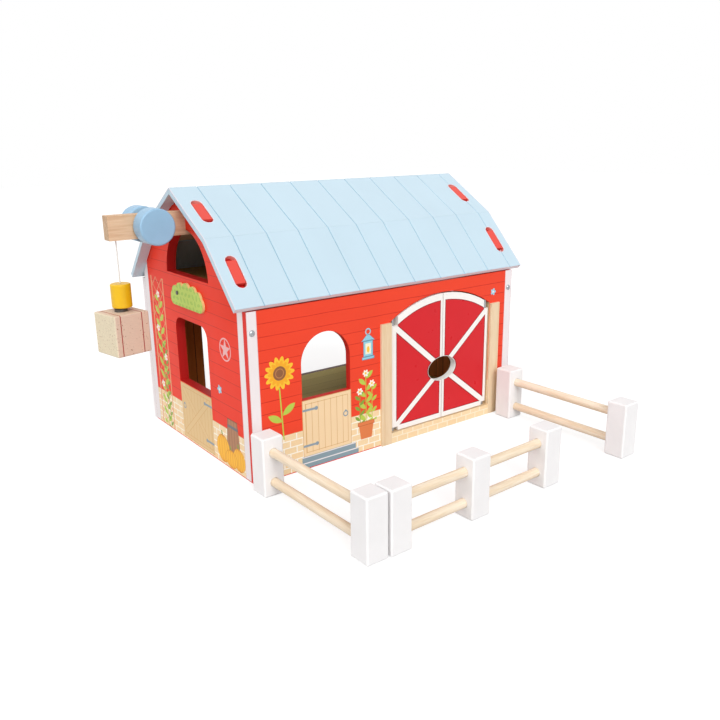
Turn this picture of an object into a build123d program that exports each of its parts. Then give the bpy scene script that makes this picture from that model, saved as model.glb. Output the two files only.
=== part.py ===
"""Toy barn with a lift-off gambrel roof, opening doors, a hoist with a magnet, and free-standing fences.

The frame: origin on the floor under the middle of the barn, +X along the front wall towards the
big doors' side, -Y out of the front wall, +Z up. All lengths are in millimetres.
"""
from build123d import *
import os
from math import cos, radians, sin, sqrt

# --- Barn body ---------------------------------------------------------------------------------
barn_length = 400.0          # along X, over both gables
barn_depth = 276.0           # along Y, over the front and back walls
wall_thickness = 8.0         # front and back walls
gable_thickness = 12.0       # end walls, which carry the roof on tabs
base_thickness = 14.0        # floor board

# --- Gambrel roof, measured on its outer skin ----------------------------------------------------
ridge_height = 313.8
bend_reach = 80.4            # from the ridge plane out to the bend
bend_height = 264.8
eave_overhang = 3.7          # past the face of the front and back walls
eave_height = 198.8
roof_thickness = 6.0
roof_end_overhang = 13.5     # past each gable
seat_gap = 0.3               # between the roof and what it sits on
ridge_gap = 0.3              # between the two lift-off halves
slot_length = 41.0
slot_clearance = 0.6         # on each side of a gable tab, across the slot
tab_length = 29.0
tab_recess = 0.3             # tab top below the roof's skin
tab_root = 1.0               # how far a tab's drawing runs into its gable
groove_width = 1.8           # V-grooves down the roof's skin
groove_depth = 0.9
groove_pitch = 41.3
groove_start = 34.5          # from the roof's left end to the first groove
groove_count = 10
batten_reach = 14.0          # stiffener inside each bend, along both panels
batten_depth = 9.0
batten_end_gap = 2.0         # from the stiffener's end to the gable

# --- Openings in the gables ----------------------------------------------------------------------
gable_window_width = 85.0
gable_window_sill = 76.0
gable_window_height = 83.0
window_corner = 15.0
loft_opening_width = 111.0
loft_opening_crown = 6.0     # above the underside of the hoist's beam, which passes through it
loft_opening_rise = 12.0     # sill above the loft floor

# --- Openings in the front and back walls -------------------------------------------------------
stable_window_middle = -102.0
stable_window_width = 66.6
stable_window_sill = 83.0
stable_window_spring = 124.7
back_opening_width = 252.0
back_opening_lintel = 27.5   # wall left above the opening

# --- Big doors -----------------------------------------------------------------------------------
doorway_middle = 76.0
doorway_width = 168.0
doorway_sill = 13.5
doorway_lintel = 14.0        # wall left above the arch
doorway_rise = 25.0
door_thickness = 9.0
door_side_gap = 1.0
door_arch_gap = 1.5
door_bottom_gap = 1.0
door_meeting_gap = 1.0
door_pin_diameter = 4.0
door_pin_clearance = 0.05    # radial, so that the leaf turns on its pins
pin_seat_clearance = 0.02    # radial, where a pin sits in the wall
door_pin_grip = 12.0         # length of pin inside the leaf
door_pin_root = 9.0          # length of pin inside the wall
door_notch_width = 10.0      # corner cut that bares each pin
door_notch_height = 4.8
finger_hole_width = 47.0
finger_hole_height = 31.0
finger_hole_middle = 81.0
jamb_width = 15.5
jamb_thickness = 3.0
jamb_setback = 0.5
jamb_top_gap = 1.0           # below the doorway's spring

# --- Hay loft --------------------------------------------------------------------------------------
loft_length = 188.0
loft_thickness = 6.0
loft_rise = 6.5              # loft floor's top above the front wall's top
loft_rail_size = 12.0
loft_side_gap = 0.5

# --- Fasteners -------------------------------------------------------------------------------------
screw_head_diameter = 7.0
screw_head_height = 2.0
screw_shank_diameter = 3.4
screw_length = 22.0
screw_hole_clearance = 0.05
corner_screw_height = 28.0   # lower screws
corner_screw_drop = 23.0     # upper screws, below the wall's top

# --- Hoist -----------------------------------------------------------------------------------------
beam_outreach = 88.0         # from the gable's face to the beam's end
beam_inner_length = 40.0     # from the gable's face inwards
beam_width = 15.0
beam_drop = 25.8             # beam's top below the ridge
beam_height = 26.5
beam_end_round = 0.8         # broken edges of the beam's outer end
beam_cleat_width = 15.0
beam_cleat_height = 16.5
beam_cleat_drop = 3.0        # cleat top below the beam's top
axle_outreach = 41.5         # from the gable's face to the winch axle
axle_diameter = 8.0
axle_clearance = 0.05
wheel_diameter = 40.0
wheel_thickness = 22.0
wheel_gap = 1.5
wheel_floor = 2.0            # closed outer side of each wheel
wheel_round = 2.0
string_diameter = 1.6
winding_radius = 6.4
winding_width = 5.6
string_slot_width = 6.4
string_slot_margin = 2.0
guide_pin_diameter = 3.0
string_outreach = 78.4       # from the gable's face to the hanging string
string_hang = 47.3           # from the beam down to the magnet
magnet_diameter = 22.0
magnet_height = 26.6
magnet_round = 1.5
magnet_disc_diameter = 14.0
magnet_disc_recess = 3.0     # how deep the disc sits in its holder
magnet_disc_stand_out = 0.8
magnet_air_gap = 0.3
bale_side = 42.3             # square in plan
bale_height = 46.2
bale_round = 1.5
bale_turn = 11.4             # degrees about its upright axis
bale_shift = 2.0             # from the string to the bale's axis
bale_plate_diameter = 14.0
bale_plate_thickness = 3.2
bale_screw_diameter = 7.0
bale_screw_head_height = 1.8
bale_screw_length = 14.0     # inside the bale

# --- Loft plaque -----------------------------------------------------------------------------------
plaque_width = 86.0
plaque_rise = 16.0           # above the gable window
plaque_height = 30.0
plaque_thickness = 3.0
plaque_pin_offset = 23.0
plaque_pin_rise = 15.5       # above the plaque's lower edge
plaque_pin_diameter = 2.4
plaque_pin_head = 5.0
plaque_pin_head_height = 1.0
plaque_lobe_radius = 8.7
plaque_lobes = 7

# --- Fences ----------------------------------------------------------------------------------------
post_size = 25.2
post_height = 66.5
post_bevel = 1.6
rail_diameter = 10.0
rail_heights = (16.0, 49.5)
rail_grip = 11.0             # length of rail inside a post, in the shortest bay
rail_hole_clearance = 0.2
side_fence_pitches = (172.4,)
front_fence_pitches = (104.5, 111.8)
side_fence_offset = 10.7     # from the front wall to the first post
side_fence_turn = 1.0        # degrees
left_fence_inset = 3.9       # from the barn's left end to the first post's middle
right_fence_inset = 21.3
front_fence_inset = 33.7     # to the first post's middle
front_fence_reach = 196.6    # from the front wall to the first post's middle
front_fence_turn = 1.6       # degrees

# --- Worked out from the above -------------------------------------------------------------------
half_length = barn_length / 2
half_depth = barn_depth / 2
front_face = -half_depth
inner_half_length = half_length - gable_thickness
inner_half_depth = half_depth - wall_thickness
roof_half_length = half_length + roof_end_overhang
door_axis_y = front_face + wall_thickness / 2
door_axis_inset = door_side_gap + door_thickness / 2
beam_tip = -half_length - beam_outreach
beam_top = ridge_height - beam_drop
beam_bottom = beam_top - beam_height
axle_x = -half_length - axle_outreach
axle_z = beam_bottom + beam_height / 2
string_x = -half_length - string_outreach
string_turn_radius = (guide_pin_diameter + string_diameter) / 2
guide_pin_x = string_x + string_turn_radius
string_lead_z = axle_z - winding_radius + string_diameter / 2
guide_pin_z = string_lead_z - string_turn_radius
magnet_top = beam_bottom - string_hang
magnet_bottom = magnet_top - magnet_height
bale_plate_top = magnet_bottom - magnet_disc_stand_out - magnet_air_gap
bale_top = bale_plate_top - bale_plate_thickness
bale_x = string_x - bale_shift


# --- Small helpers ---------------------------------------------------------------------------------
def rectangle(low_u, high_u, low_v, high_v):
    """Sketch of a rectangle given by its sides."""
    return Pos((low_u + high_u) / 2, (low_v + high_v) / 2) * Rectangle(high_u - low_u, high_v - low_v)


def block(low_x, high_x, low_y, high_y, low_z, high_z):
    """Box given by its faces."""
    middle = ((low_x + high_x) / 2, (low_y + high_y) / 2, (low_z + high_z) / 2)
    return Pos(*middle) * Box(high_x - low_x, high_y - low_y, high_z - low_z)


def board_across(sketch, y, thickness):
    """Board with its face drawn in X and Z, from y back to y + thickness."""
    face = Plane(origin=(0, y, 0), x_dir=(1, 0, 0), z_dir=(0, -1, 0)) * sketch
    return extrude(face, amount=-thickness)


def board_along(sketch, x, thickness):
    """Board or bar with its section drawn in Y and Z, from x to x + thickness."""
    face = Plane(origin=(x, 0, 0), x_dir=(0, 1, 0), z_dir=(1, 0, 0)) * sketch
    return extrude(face, amount=thickness)


def rod(start, direction, length, diameter):
    """Round bar from a point along a direction."""
    return extrude(Plane(origin=start, z_dir=direction) * Circle(diameter / 2), amount=length)


def screw(start, direction, length, head_diameter=screw_head_diameter):
    """Round-head screw: start is where the head's underside meets the surface, direction points in."""
    shank = Rectangle(screw_shank_diameter / 2, length, align=(Align.MIN, Align.MAX))
    head_radius = head_diameter / 2
    shoulder = (head_radius * sin(radians(45)), screw_head_height * cos(radians(45)))
    dome = make_face(Polyline((head_radius, 0), (0, 0), (0, screw_head_height))
                     + ThreePointArc((0, screw_head_height), shoulder, (head_radius, 0)))
    turned = revolve(Plane.XZ * (shank + dome), Axis.Z)
    inward = Vector(*direction)
    return Plane(origin=start, z_dir=-inward) * turned


def screw_hole(start, direction, length):
    """Hole that a screw's shank passes into."""
    return rod(start, direction, length, screw_shank_diameter + 2 * screw_hole_clearance)


def window(middle, width, sill, top):
    """Sketch of a window with a square sill and round upper corners."""
    outline = rectangle(middle - width / 2, middle + width / 2, sill, top)
    upper_corners = outline.vertices().sort_by(Axis.Y)[-2:]
    return fillet(upper_corners, window_corner)


# --- Roof geometry, seen along X, for the front half (y < 0) --------------------------------------
class RoofLine:
    """The roof's section line, moved inwards from its outer skin by a depth."""

    def __init__(self, depth):
        ridge = Vector(0, ridge_height)
        bend = Vector(-bend_reach, bend_height)
        eave = Vector(-half_depth - eave_overhang, eave_height)
        self.upper = (ridge - bend).normalized()
        self.lower = (bend - eave).normalized()
        self.upper_in = Vector(self.upper.Y, -self.upper.X)
        self.lower_in = Vector(self.lower.Y, -self.lower.X)
        self.eave = eave + self.lower_in * depth
        mitre = (self.upper_in + self.lower_in).normalized()
        self.bend = bend + mitre * (depth / mitre.dot(self.upper_in))
        self.ridge = ridge - Vector(0, depth / self.upper.X)

    def height_at(self, y):
        """Height of the lower panel's line at a place y."""
        return self.eave.Y + (y - self.eave.X) * self.lower.Y / self.lower.X


skin = RoofLine(0.0)
underside = RoofLine(roof_thickness)
seat = RoofLine(roof_thickness + seat_gap)
lift_direction = (-(skin.upper_in + skin.lower_in)).normalized()
wall_top = seat.height_at(-half_depth)

# --- Heights that follow the roof's eaves ---------------------------------------------------------
loft_top = wall_top + loft_rise
loft_opening_sill = loft_top + loft_opening_rise
loft_opening_height = beam_bottom + loft_opening_crown - loft_opening_sill
back_opening_top = wall_top - back_opening_lintel
doorway_spring = wall_top - doorway_lintel - doorway_rise
doorway_radius = ((doorway_width / 2) ** 2 + doorway_rise ** 2) / (2 * doorway_rise)
doorway_centre_z = doorway_spring + doorway_rise - doorway_radius
jamb_top = doorway_spring - jamb_top_gap
plaque_bottom = gable_window_sill + gable_window_height + plaque_rise
plaque_pin_height = plaque_bottom + plaque_pin_rise


def slope_patch(start, end, inward, length, top_depth, bottom_depth):
    """Sketch of a rectangle lying on a roof slope at its middle, between two depths."""
    along = (end - start).normalized()
    middle = (start + end) * 0.5
    corners = [middle + along * (side * length / 2) + inward * depth
               for side, depth in ((-1, top_depth), (1, top_depth), (1, bottom_depth), (-1, bottom_depth))]
    return make_face(Polyline(*[(c.X, c.Y) for c in corners], close=True))


# --- Barn body ----------------------------------------------------------------------------------
def corner_screw_places():
    """Where the corner screws enter, and which way they point."""
    across = half_length - gable_thickness / 2
    return [((side * across, face * half_depth, height), (0, -face, 0))
            for side in (-1, 1) for face in (-1, 1)
            for height in (corner_screw_height, wall_top - corner_screw_drop)]


def cut_corner_holes(board):
    for start, direction in corner_screw_places():
        board -= screw_hole(start, direction, screw_length)
    return board


def floor_panel():
    return block(-inner_half_length, inner_half_length, -inner_half_depth, inner_half_depth,
                 0, base_thickness)


def doorway_sketch(side_gap, bottom_gap, arch_gap):
    """Opening under a flat arch, drawn smaller by the gaps."""
    half = doorway_width / 2 - side_gap
    radius = doorway_radius - arch_gap
    shoulder = doorway_centre_z + sqrt(radius ** 2 - half ** 2)
    bottom = doorway_sill + bottom_gap
    left, right = doorway_middle - half, doorway_middle + half
    outline = Polyline((left, shoulder), (left, bottom), (right, bottom), (right, shoulder))
    arch = ThreePointArc((right, shoulder), (doorway_middle, doorway_centre_z + radius), (left, shoulder))
    return make_face(outline + arch)


def stable_window_sketch():
    half = stable_window_width / 2
    lower = rectangle(stable_window_middle - half, stable_window_middle + half,
                      stable_window_sill, stable_window_spring)
    return lower + Pos(stable_window_middle, stable_window_spring) * Circle(half)


def front_wall():
    outline = rectangle(-half_length, half_length, 0, wall_top)
    sketch = outline - stable_window_sketch() - doorway_sketch(0, 0, 0)
    wall = cut_corner_holes(board_across(sketch, front_face, wall_thickness))
    for pin in door_pin_rods(pin_seat_clearance):
        wall -= pin
    return wall


def back_wall():
    outline = rectangle(-half_length, half_length, 0, wall_top)
    sketch = outline - window(0, back_opening_width, base_thickness, back_opening_top)
    return cut_corner_holes(board_across(sketch, inner_half_depth, wall_thickness))


def gable_sketch():
    """End wall under the roof, with a tab for each of the four roof panels."""
    edge = inner_half_depth
    front = [(-edge, 0), (-edge, seat.height_at(-edge)), (seat.bend.X, seat.bend.Y), (0, seat.ridge.Y)]
    back = [(-y, z) for y, z in reversed(front[:-1])]
    sketch = make_face(Polyline(*front, *back, close=True))
    root = roof_thickness + seat_gap + tab_root
    for start, end, inward in ((skin.bend, skin.ridge, skin.upper_in), (skin.eave, skin.bend, skin.lower_in)):
        tab = slope_patch(start, end, inward, tab_length, tab_recess, root)
        sketch += tab
        sketch += mirror(tab, Plane.YZ)
    sketch -= window(0, gable_window_width, gable_window_sill, gable_window_sill + gable_window_height)
    above_sill = rectangle(-barn_depth, barn_depth, 0, barn_depth)
    loft = Ellipse(loft_opening_width / 2, loft_opening_height) & above_sill
    return sketch - Pos(0, loft_opening_sill) * loft


def left_gable():
    gable = board_along(gable_sketch(), -half_length, gable_thickness)
    gable -= block(beam_tip, 0, -beam_width / 2, beam_width / 2, beam_bottom, beam_top)
    gable -= rod(plaque_pin_place(), (1, 0, 0), gable_thickness / 2, plaque_pin_diameter)
    return cut_corner_holes(gable)


def right_gable():
    return cut_corner_holes(board_along(gable_sketch(), inner_half_length, gable_thickness))


def corner_screws():
    return [screw(start, direction, screw_length) for start, direction in corner_screw_places()]


# --- Doorway and doors ---------------------------------------------------------------------------
def door_jamb(side):
    edge = doorway_middle + side * (doorway_width / 2 + jamb_setback)
    outer = edge + side * jamb_width
    return block(min(edge, outer), max(edge, outer), front_face - jamb_thickness, front_face, 0, jamb_top)


def door_threshold():
    reach = doorway_width / 2 + jamb_setback
    return block(doorway_middle - reach, doorway_middle + reach, front_face - jamb_thickness, front_face,
                 0, doorway_sill)


def door_axis_x(side):
    return doorway_middle + side * (doorway_width / 2 - door_axis_inset)


def door_notch_levels():
    """Bottom and top of the leaf at its notched corners."""
    shoulder = doorway_centre_z + sqrt((doorway_radius - door_arch_gap) ** 2 - (doorway_width / 2) ** 2)
    return doorway_sill + door_bottom_gap + door_notch_height, shoulder - door_notch_height


def door_pin_rods(clearance):
    """Two pins for each leaf, from the wall into the leaf, with a radial clearance."""
    low, high = door_notch_levels()
    over_axis = doorway_width / 2 - door_axis_inset
    lintel = doorway_centre_z + sqrt(doorway_radius ** 2 - over_axis ** 2)
    diameter = door_pin_diameter + 2 * clearance
    rods = []
    for side in (-1, 1):
        for bottom, top in ((doorway_sill - door_pin_root, low + door_pin_grip),
                            (high - door_pin_grip, lintel + door_pin_root)):
            rods.append(rod((door_axis_x(side), door_axis_y, bottom), (0, 0, 1), top - bottom, diameter))
    return rods


def door_leaf(side):
    """Leaf with a round pivot edge, bared pins at its corners and half of the finger hole."""
    sketch = doorway_sketch(door_side_gap, door_bottom_gap, door_arch_gap)
    near = doorway_middle + side * door_meeting_gap / 2
    far = doorway_middle + side * doorway_width
    sketch &= rectangle(min(near, far), max(near, far), 0, barn_depth)
    sketch -= Pos(doorway_middle, finger_hole_middle) * Ellipse(finger_hole_width / 2, finger_hole_height / 2)
    low, high = door_notch_levels()
    edge = doorway_middle + side * doorway_width / 2
    inner = edge - side * (door_side_gap + door_notch_width)
    notch_left, notch_right = min(edge, inner), max(edge, inner)
    sketch -= rectangle(notch_left, notch_right, 0, low)
    sketch -= rectangle(notch_left, notch_right, high, barn_depth)
    leaf = board_across(sketch, door_axis_y - door_thickness / 2, door_thickness)
    axis_x = door_axis_x(side)
    plan = rectangle(min(axis_x, near), max(axis_x, near), door_axis_y - door_thickness / 2,
                     door_axis_y + door_thickness / 2)
    plan += Pos(axis_x, door_axis_y) * Circle(door_thickness / 2)
    leaf &= extrude(plan, amount=ridge_height)
    for pin in door_pin_rods(door_pin_clearance):
        leaf -= pin
    return leaf


# --- Loft -------------------------------------------------------------------------------------------
def loft_floor():
    reach = inner_half_depth - loft_side_gap
    return block(-inner_half_length, -inner_half_length + loft_length, -reach, reach,
                 loft_top - loft_thickness, loft_top)


def loft_rail(side):
    wall = side * inner_half_depth
    inner = wall - side * loft_rail_size
    top = loft_top - loft_thickness
    return block(-inner_half_length, -inner_half_length + loft_length, min(wall, inner), max(wall, inner),
                 top - loft_rail_size, top)


def plaque_pin_place():
    return (-half_length, plaque_pin_offset, plaque_pin_height)


def loft_plaque():
    """Board with a scalloped crown, cut like a small bush."""
    half = plaque_width / 2 - plaque_lobe_radius
    low = plaque_bottom + plaque_lobe_radius
    rise = plaque_height - 2 * plaque_lobe_radius
    crown = Ellipse(half, rise + plaque_lobe_radius / 2)
    sketch = rectangle(-half, half, plaque_bottom, low)
    sketch += Pos(0, low) * (crown & rectangle(-half, half, 0, plaque_height))
    for index in range(plaque_lobes):
        angle = radians(180 * index / (plaque_lobes - 1))
        sketch += Pos(-half * cos(angle), low + rise * sin(angle)) * Circle(plaque_lobe_radius)
    board = board_along(sketch, -half_length - plaque_thickness, plaque_thickness)
    start = (-half_length - plaque_thickness, plaque_pin_offset, plaque_pin_height)
    return board - rod(start, (1, 0, 0), plaque_thickness, plaque_pin_diameter)


def plaque_pin():
    surface = -half_length - plaque_thickness
    shank = rod((surface, plaque_pin_offset, plaque_pin_height), (1, 0, 0),
                plaque_thickness + gable_thickness / 2, plaque_pin_diameter)
    return shank + rod((surface, plaque_pin_offset, plaque_pin_height), (-1, 0, 0),
                       plaque_pin_head_height, plaque_pin_head)


# --- Roof -------------------------------------------------------------------------------------------
def roof_grooves(start, end):
    """Cutters for the V-grooves of the panel that runs from start to end."""
    along = (end - start).normalized()
    half = groove_width / 2
    diamond = make_face(Polyline((-half, 0), (0, -groove_depth), (half, 0), (0, groove_depth), close=True))
    cutters = []
    for index in range(groove_count):
        x = -roof_half_length + groove_start + index * groove_pitch
        origin = (x, start.X - along.X * roof_thickness, start.Y - along.Y * roof_thickness)
        section = Plane(origin=origin, x_dir=(1, 0, 0), z_dir=(0, along.X, along.Y)) * diamond
        cutters.append(extrude(section, amount=(end - start).length + 2 * roof_thickness))
    return cutters


def roof_panel(upper, side):
    """One sloping panel; side is -1 for the front half and 1 for the back half."""
    if upper:
        ridge_cut = -ridge_gap / 2
        slope = skin.upper.Y / skin.upper.X
        corners = [(skin.bend.X, skin.bend.Y), (ridge_cut, skin.ridge.Y + ridge_cut * slope),
                   (ridge_cut, underside.ridge.Y + ridge_cut * slope), (underside.bend.X, underside.bend.Y)]
        start, end, inward = skin.bend, skin.ridge, skin.upper_in
    else:
        corners = [(p.X, p.Y) for p in (skin.eave, skin.bend, underside.bend, underside.eave)]
        start, end, inward = skin.eave, skin.bend, skin.lower_in
    panel = board_along(make_face(Polyline(*corners, close=True)), -roof_half_length, 2 * roof_half_length)
    along = (end - start).normalized()
    middle = (start + end) * 0.5
    for gable_side in (-1, 1):
        place = Plane(origin=(gable_side * (half_length - gable_thickness / 2), middle.X, middle.Y),
                      x_dir=(0, along.X, along.Y), z_dir=(0, -inward.X, -inward.Y))
        slot = place * SlotOverall(slot_length, gable_thickness + 2 * slot_clearance)
        panel -= extrude(slot, amount=roof_thickness * 2, both=True)
    for cutter in roof_grooves(start, end):
        panel -= cutter
    return panel if side < 0 else mirror(panel, Plane.XZ)


def roof_batten(side):
    """Stiffener glued inside the bend, which joins the two panels of one half."""
    up = underside.bend + underside.upper * batten_reach
    down = underside.bend - underside.lower * batten_reach
    corners = [underside.bend, up, up + underside.upper_in * batten_depth,
               down + underside.lower_in * batten_depth, down]
    reach = inner_half_length - batten_end_gap
    batten = board_along(make_face(Polyline(*[(c.X, c.Y) for c in corners], close=True)), -reach, 2 * reach)
    return batten if side < 0 else mirror(batten, Plane.XZ)


# --- Hoist ------------------------------------------------------------------------------------------
def beam_cleat_screw_places():
    middle_x = -inner_half_length + (beam_inner_length - gable_thickness) / 2
    middle_z = beam_top - beam_cleat_drop - beam_cleat_height / 2
    reach = beam_width / 2 + beam_cleat_width
    return [((middle_x, side * reach, middle_z), (0, -side, 0)) for side in (-1, 1)]


def hoist_beam():
    """Beam with a bore for the axle and a slot below, in which the string is wound."""
    beam = block(beam_tip, -half_length + beam_inner_length, -beam_width / 2, beam_width / 2,
                 beam_bottom, beam_top)
    beam = fillet(beam.faces().sort_by(Axis.X)[0].edges(), beam_end_round)
    slot_start = string_x - string_diameter / 2 - string_slot_margin
    slot_end = axle_x + winding_radius + string_slot_margin
    beam -= block(slot_start, slot_end, -string_slot_width / 2, string_slot_width / 2,
                  beam_bottom, axle_z + winding_radius + string_slot_margin)
    beam -= rod((axle_x, -beam_width, axle_z), (0, 1, 0), 2 * beam_width, axle_diameter + 2 * axle_clearance)
    beam -= rod((guide_pin_x, -beam_width, guide_pin_z), (0, 1, 0), 2 * beam_width,
                guide_pin_diameter + 2 * pin_seat_clearance)
    for start, direction in beam_cleat_screw_places():
        beam -= screw_hole(start, direction, screw_length)
    return beam


def beam_cleats():
    """Two blocks that hold the beam to the inside of the gable."""
    top = beam_top - beam_cleat_drop
    cleats = []
    for start, direction in beam_cleat_screw_places():
        near = -direction[1] * beam_width / 2
        far = start[1]
        cleat = block(-inner_half_length, -half_length + beam_inner_length, min(near, far), max(near, far),
                      top - beam_cleat_height, top)
        cleats.append(cleat - screw_hole(start, direction, screw_length))
    return cleats


def beam_screws():
    return [screw(start, direction, beam_cleat_width + beam_width / 2 - string_slot_width / 2)
            for start, direction in beam_cleat_screw_places()]


def guide_pin():
    return rod((guide_pin_x, -beam_width / 2, guide_pin_z), (0, 1, 0), beam_width, guide_pin_diameter)


def winch_axle():
    reach = beam_width / 2 + wheel_gap + wheel_thickness - wheel_floor
    return rod((axle_x, -reach, axle_z), (0, 1, 0), 2 * reach, axle_diameter)


def winch_wheel(side):
    """Wooden wheel with a blind bore that the axle is glued into."""
    inner = beam_width / 2 + wheel_gap
    wheel = rod((axle_x, side * inner, axle_z), (0, side, 0), wheel_thickness, wheel_diameter)
    wheel = fillet(wheel.edges(), wheel_round)
    return wheel - rod((axle_x, side * inner, axle_z), (0, side, 0), wheel_thickness - wheel_floor,
                       axle_diameter)


def string_winding():
    ring = Circle(winding_radius) - Circle(axle_diameter / 2)
    start = Plane(origin=(axle_x, -winding_width / 2, axle_z), z_dir=(0, 1, 0))
    return extrude(start * ring, amount=winding_width)


def string_lead():
    """String from the winding, along the slot and down over the guide pin."""
    turn_start = (guide_pin_x, 0, string_lead_z)
    turn_end = (string_x, 0, guide_pin_z)
    middle = (guide_pin_x - string_turn_radius * cos(radians(45)), 0,
              guide_pin_z + string_turn_radius * sin(radians(45)))
    path = Line((axle_x, 0, string_lead_z), turn_start)
    path += ThreePointArc(turn_start, middle, turn_end)
    path += Line(turn_end, (string_x, 0, beam_bottom))
    section = Plane(origin=(axle_x, 0, string_lead_z), z_dir=(-1, 0, 0)) * Circle(string_diameter / 2)
    lead = sweep(section, path=path)
    return lead - rod((axle_x, -winding_width, axle_z), (0, 1, 0), 2 * winding_width, 2 * winding_radius)


def hoist_string():
    return rod((string_x, 0, magnet_top), (0, 0, 1), beam_bottom - magnet_top, string_diameter)


def magnet_disc():
    return rod((string_x, 0, magnet_bottom + magnet_disc_recess), (0, 0, -1),
               magnet_disc_recess + magnet_disc_stand_out, magnet_disc_diameter)


def magnet_holder():
    holder = rod((string_x, 0, magnet_bottom), (0, 0, 1), magnet_height, magnet_diameter)
    return fillet(holder.edges(), magnet_round) - magnet_disc()


def hay_bale():
    bale = Box(bale_side, bale_side, bale_height, align=(Align.CENTER, Align.CENTER, Align.MAX))
    bale = Pos(bale_x, 0, bale_top) * Rot(0, 0, bale_turn) * fillet(bale.edges(), bale_round)
    return bale - screw_hole((bale_x, 0, bale_top), (0, 0, -1), bale_screw_length)


def bale_screw():
    """Screw with a flush head, through the plate and into the bale."""
    head = Cone(screw_shank_diameter / 2, bale_screw_diameter / 2, bale_screw_head_height,
                align=(Align.CENTER, Align.CENTER, Align.MAX))
    shank = rod((bale_x, 0, bale_plate_top), (0, 0, -1), bale_plate_thickness + bale_screw_length,
                screw_shank_diameter)
    return Pos(bale_x, 0, bale_plate_top) * head + shank


def bale_plate():
    plate = rod((bale_x, 0, bale_top), (0, 0, 1), bale_plate_thickness, bale_plate_diameter)
    return plate - bale_screw()


# --- Fences -----------------------------------------------------------------------------------------
def fence(pitches):
    """Posts and equal rails of one fence, along local X from the first post's middle."""
    hole = rail_diameter + 2 * rail_hole_clearance
    places = [sum(pitches[:index]) for index in range(len(pitches) + 1)]
    posts = []
    for place in places:
        post = Box(post_size, post_size, post_height, align=(Align.CENTER, Align.CENTER, Align.MIN))
        post = Pos(place, 0, 0) * chamfer(post.edges(), post_bevel)
        for side in [s for s, inside in ((-1, place > places[0]), (1, place < places[-1])) if inside]:
            for height in rail_heights:
                post -= rod((place + side * post_size / 2, 0, height), (-side, 0, 0),
                            rail_grip + rail_hole_clearance, hole)
        posts.append(post)
    rails = []
    length = min(pitches) - post_size + 2 * rail_grip
    for place, pitch in zip(places, pitches):
        start = place + (pitch - length) / 2
        rails += [rod((start, 0, height), (1, 0, 0), length, rail_diameter) for height in rail_heights]
    return posts, rails


def fence_nodes(name, pitches, place):
    """Named pieces of one fence, set down where it stands."""
    posts, rails = fence(pitches)
    nodes = {f"{name}_post_{index + 1}": place * post for index, post in enumerate(posts)}
    for index, rail in enumerate(rails):
        level = ("lower", "upper")[index % 2]
        bay = f"_{index // 2 + 1}" if len(pitches) > 1 else ""
        nodes[f"{name}_{level}_rail{bay}"] = place * rail
    return nodes


def all_nodes():
    nodes = {
        "floor_panel": floor_panel(),
        "front_wall": front_wall(),
        "back_wall": back_wall(),
        "left_gable": left_gable(),
        "right_gable": right_gable(),
        "corner_screws": Compound(corner_screws()),
        "left_door_jamb": door_jamb(-1),
        "right_door_jamb": door_jamb(1),
        "door_threshold": door_threshold(),
        "door_pins": Compound(door_pin_rods(0)),
        "left_door_leaf": door_leaf(-1),
        "right_door_leaf": door_leaf(1),
        "loft_floor": loft_floor(),
        "front_loft_rail": loft_rail(-1),
        "back_loft_rail": loft_rail(1),
        "loft_plaque": loft_plaque(),
        "plaque_pin": plaque_pin(),
        "front_roof_upper": roof_panel(True, -1),
        "front_roof_lower": roof_panel(False, -1),
        "front_roof_batten": roof_batten(-1),
        "back_roof_upper": roof_panel(True, 1),
        "back_roof_lower": roof_panel(False, 1),
        "back_roof_batten": roof_batten(1),
        "hoist_beam": hoist_beam(),
        "beam_cleats": Compound(beam_cleats()),
        "beam_screws": Compound(beam_screws()),
        "guide_pin": guide_pin(),
        "string_lead": string_lead(),
        "winch_axle": winch_axle(),
        "front_winch_wheel": winch_wheel(-1),
        "back_winch_wheel": winch_wheel(1),
        "string_winding": string_winding(),
        "hoist_string": hoist_string(),
        "magnet_holder": magnet_holder(),
        "magnet_disc": magnet_disc(),
        "hay_bale": hay_bale(),
        "bale_plate": bale_plate(),
        "bale_screw": bale_screw(),
    }
    side_y = front_face - side_fence_offset - post_size / 2
    left_x, right_x = left_fence_inset - half_length, half_length - right_fence_inset
    for name, x in (("left_fence", left_x), ("right_fence", right_x)):
        nodes.update(fence_nodes(name, side_fence_pitches,
                                 Pos(x, side_y, 0) * Rot(0, 0, side_fence_turn - 90)))
    nodes.update(fence_nodes("front_fence", front_fence_pitches,
                             Pos(front_fence_inset - half_length, front_face - front_fence_reach, 0)
                             * Rot(0, 0, front_fence_turn)))
    return nodes


os.makedirs("parts", exist_ok=True)
for node_name, shape in all_nodes().items():
    export_step(shape, f"parts/{node_name}.step")

print("string bend radius (mm):", string_turn_radius)
print("roof lift direction (y, z):", round(lift_direction.X, 4), round(lift_direction.Y, 4))
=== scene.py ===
"""Finishes of a wooden toy barn: printed and painted boards, bare wood, string and steel.

All lengths in this file are millimetres in the barn's own frame: origin on the floor under the
middle of the barn, +X along the front wall, -Y out of the front wall, +Z up.
"""

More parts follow.
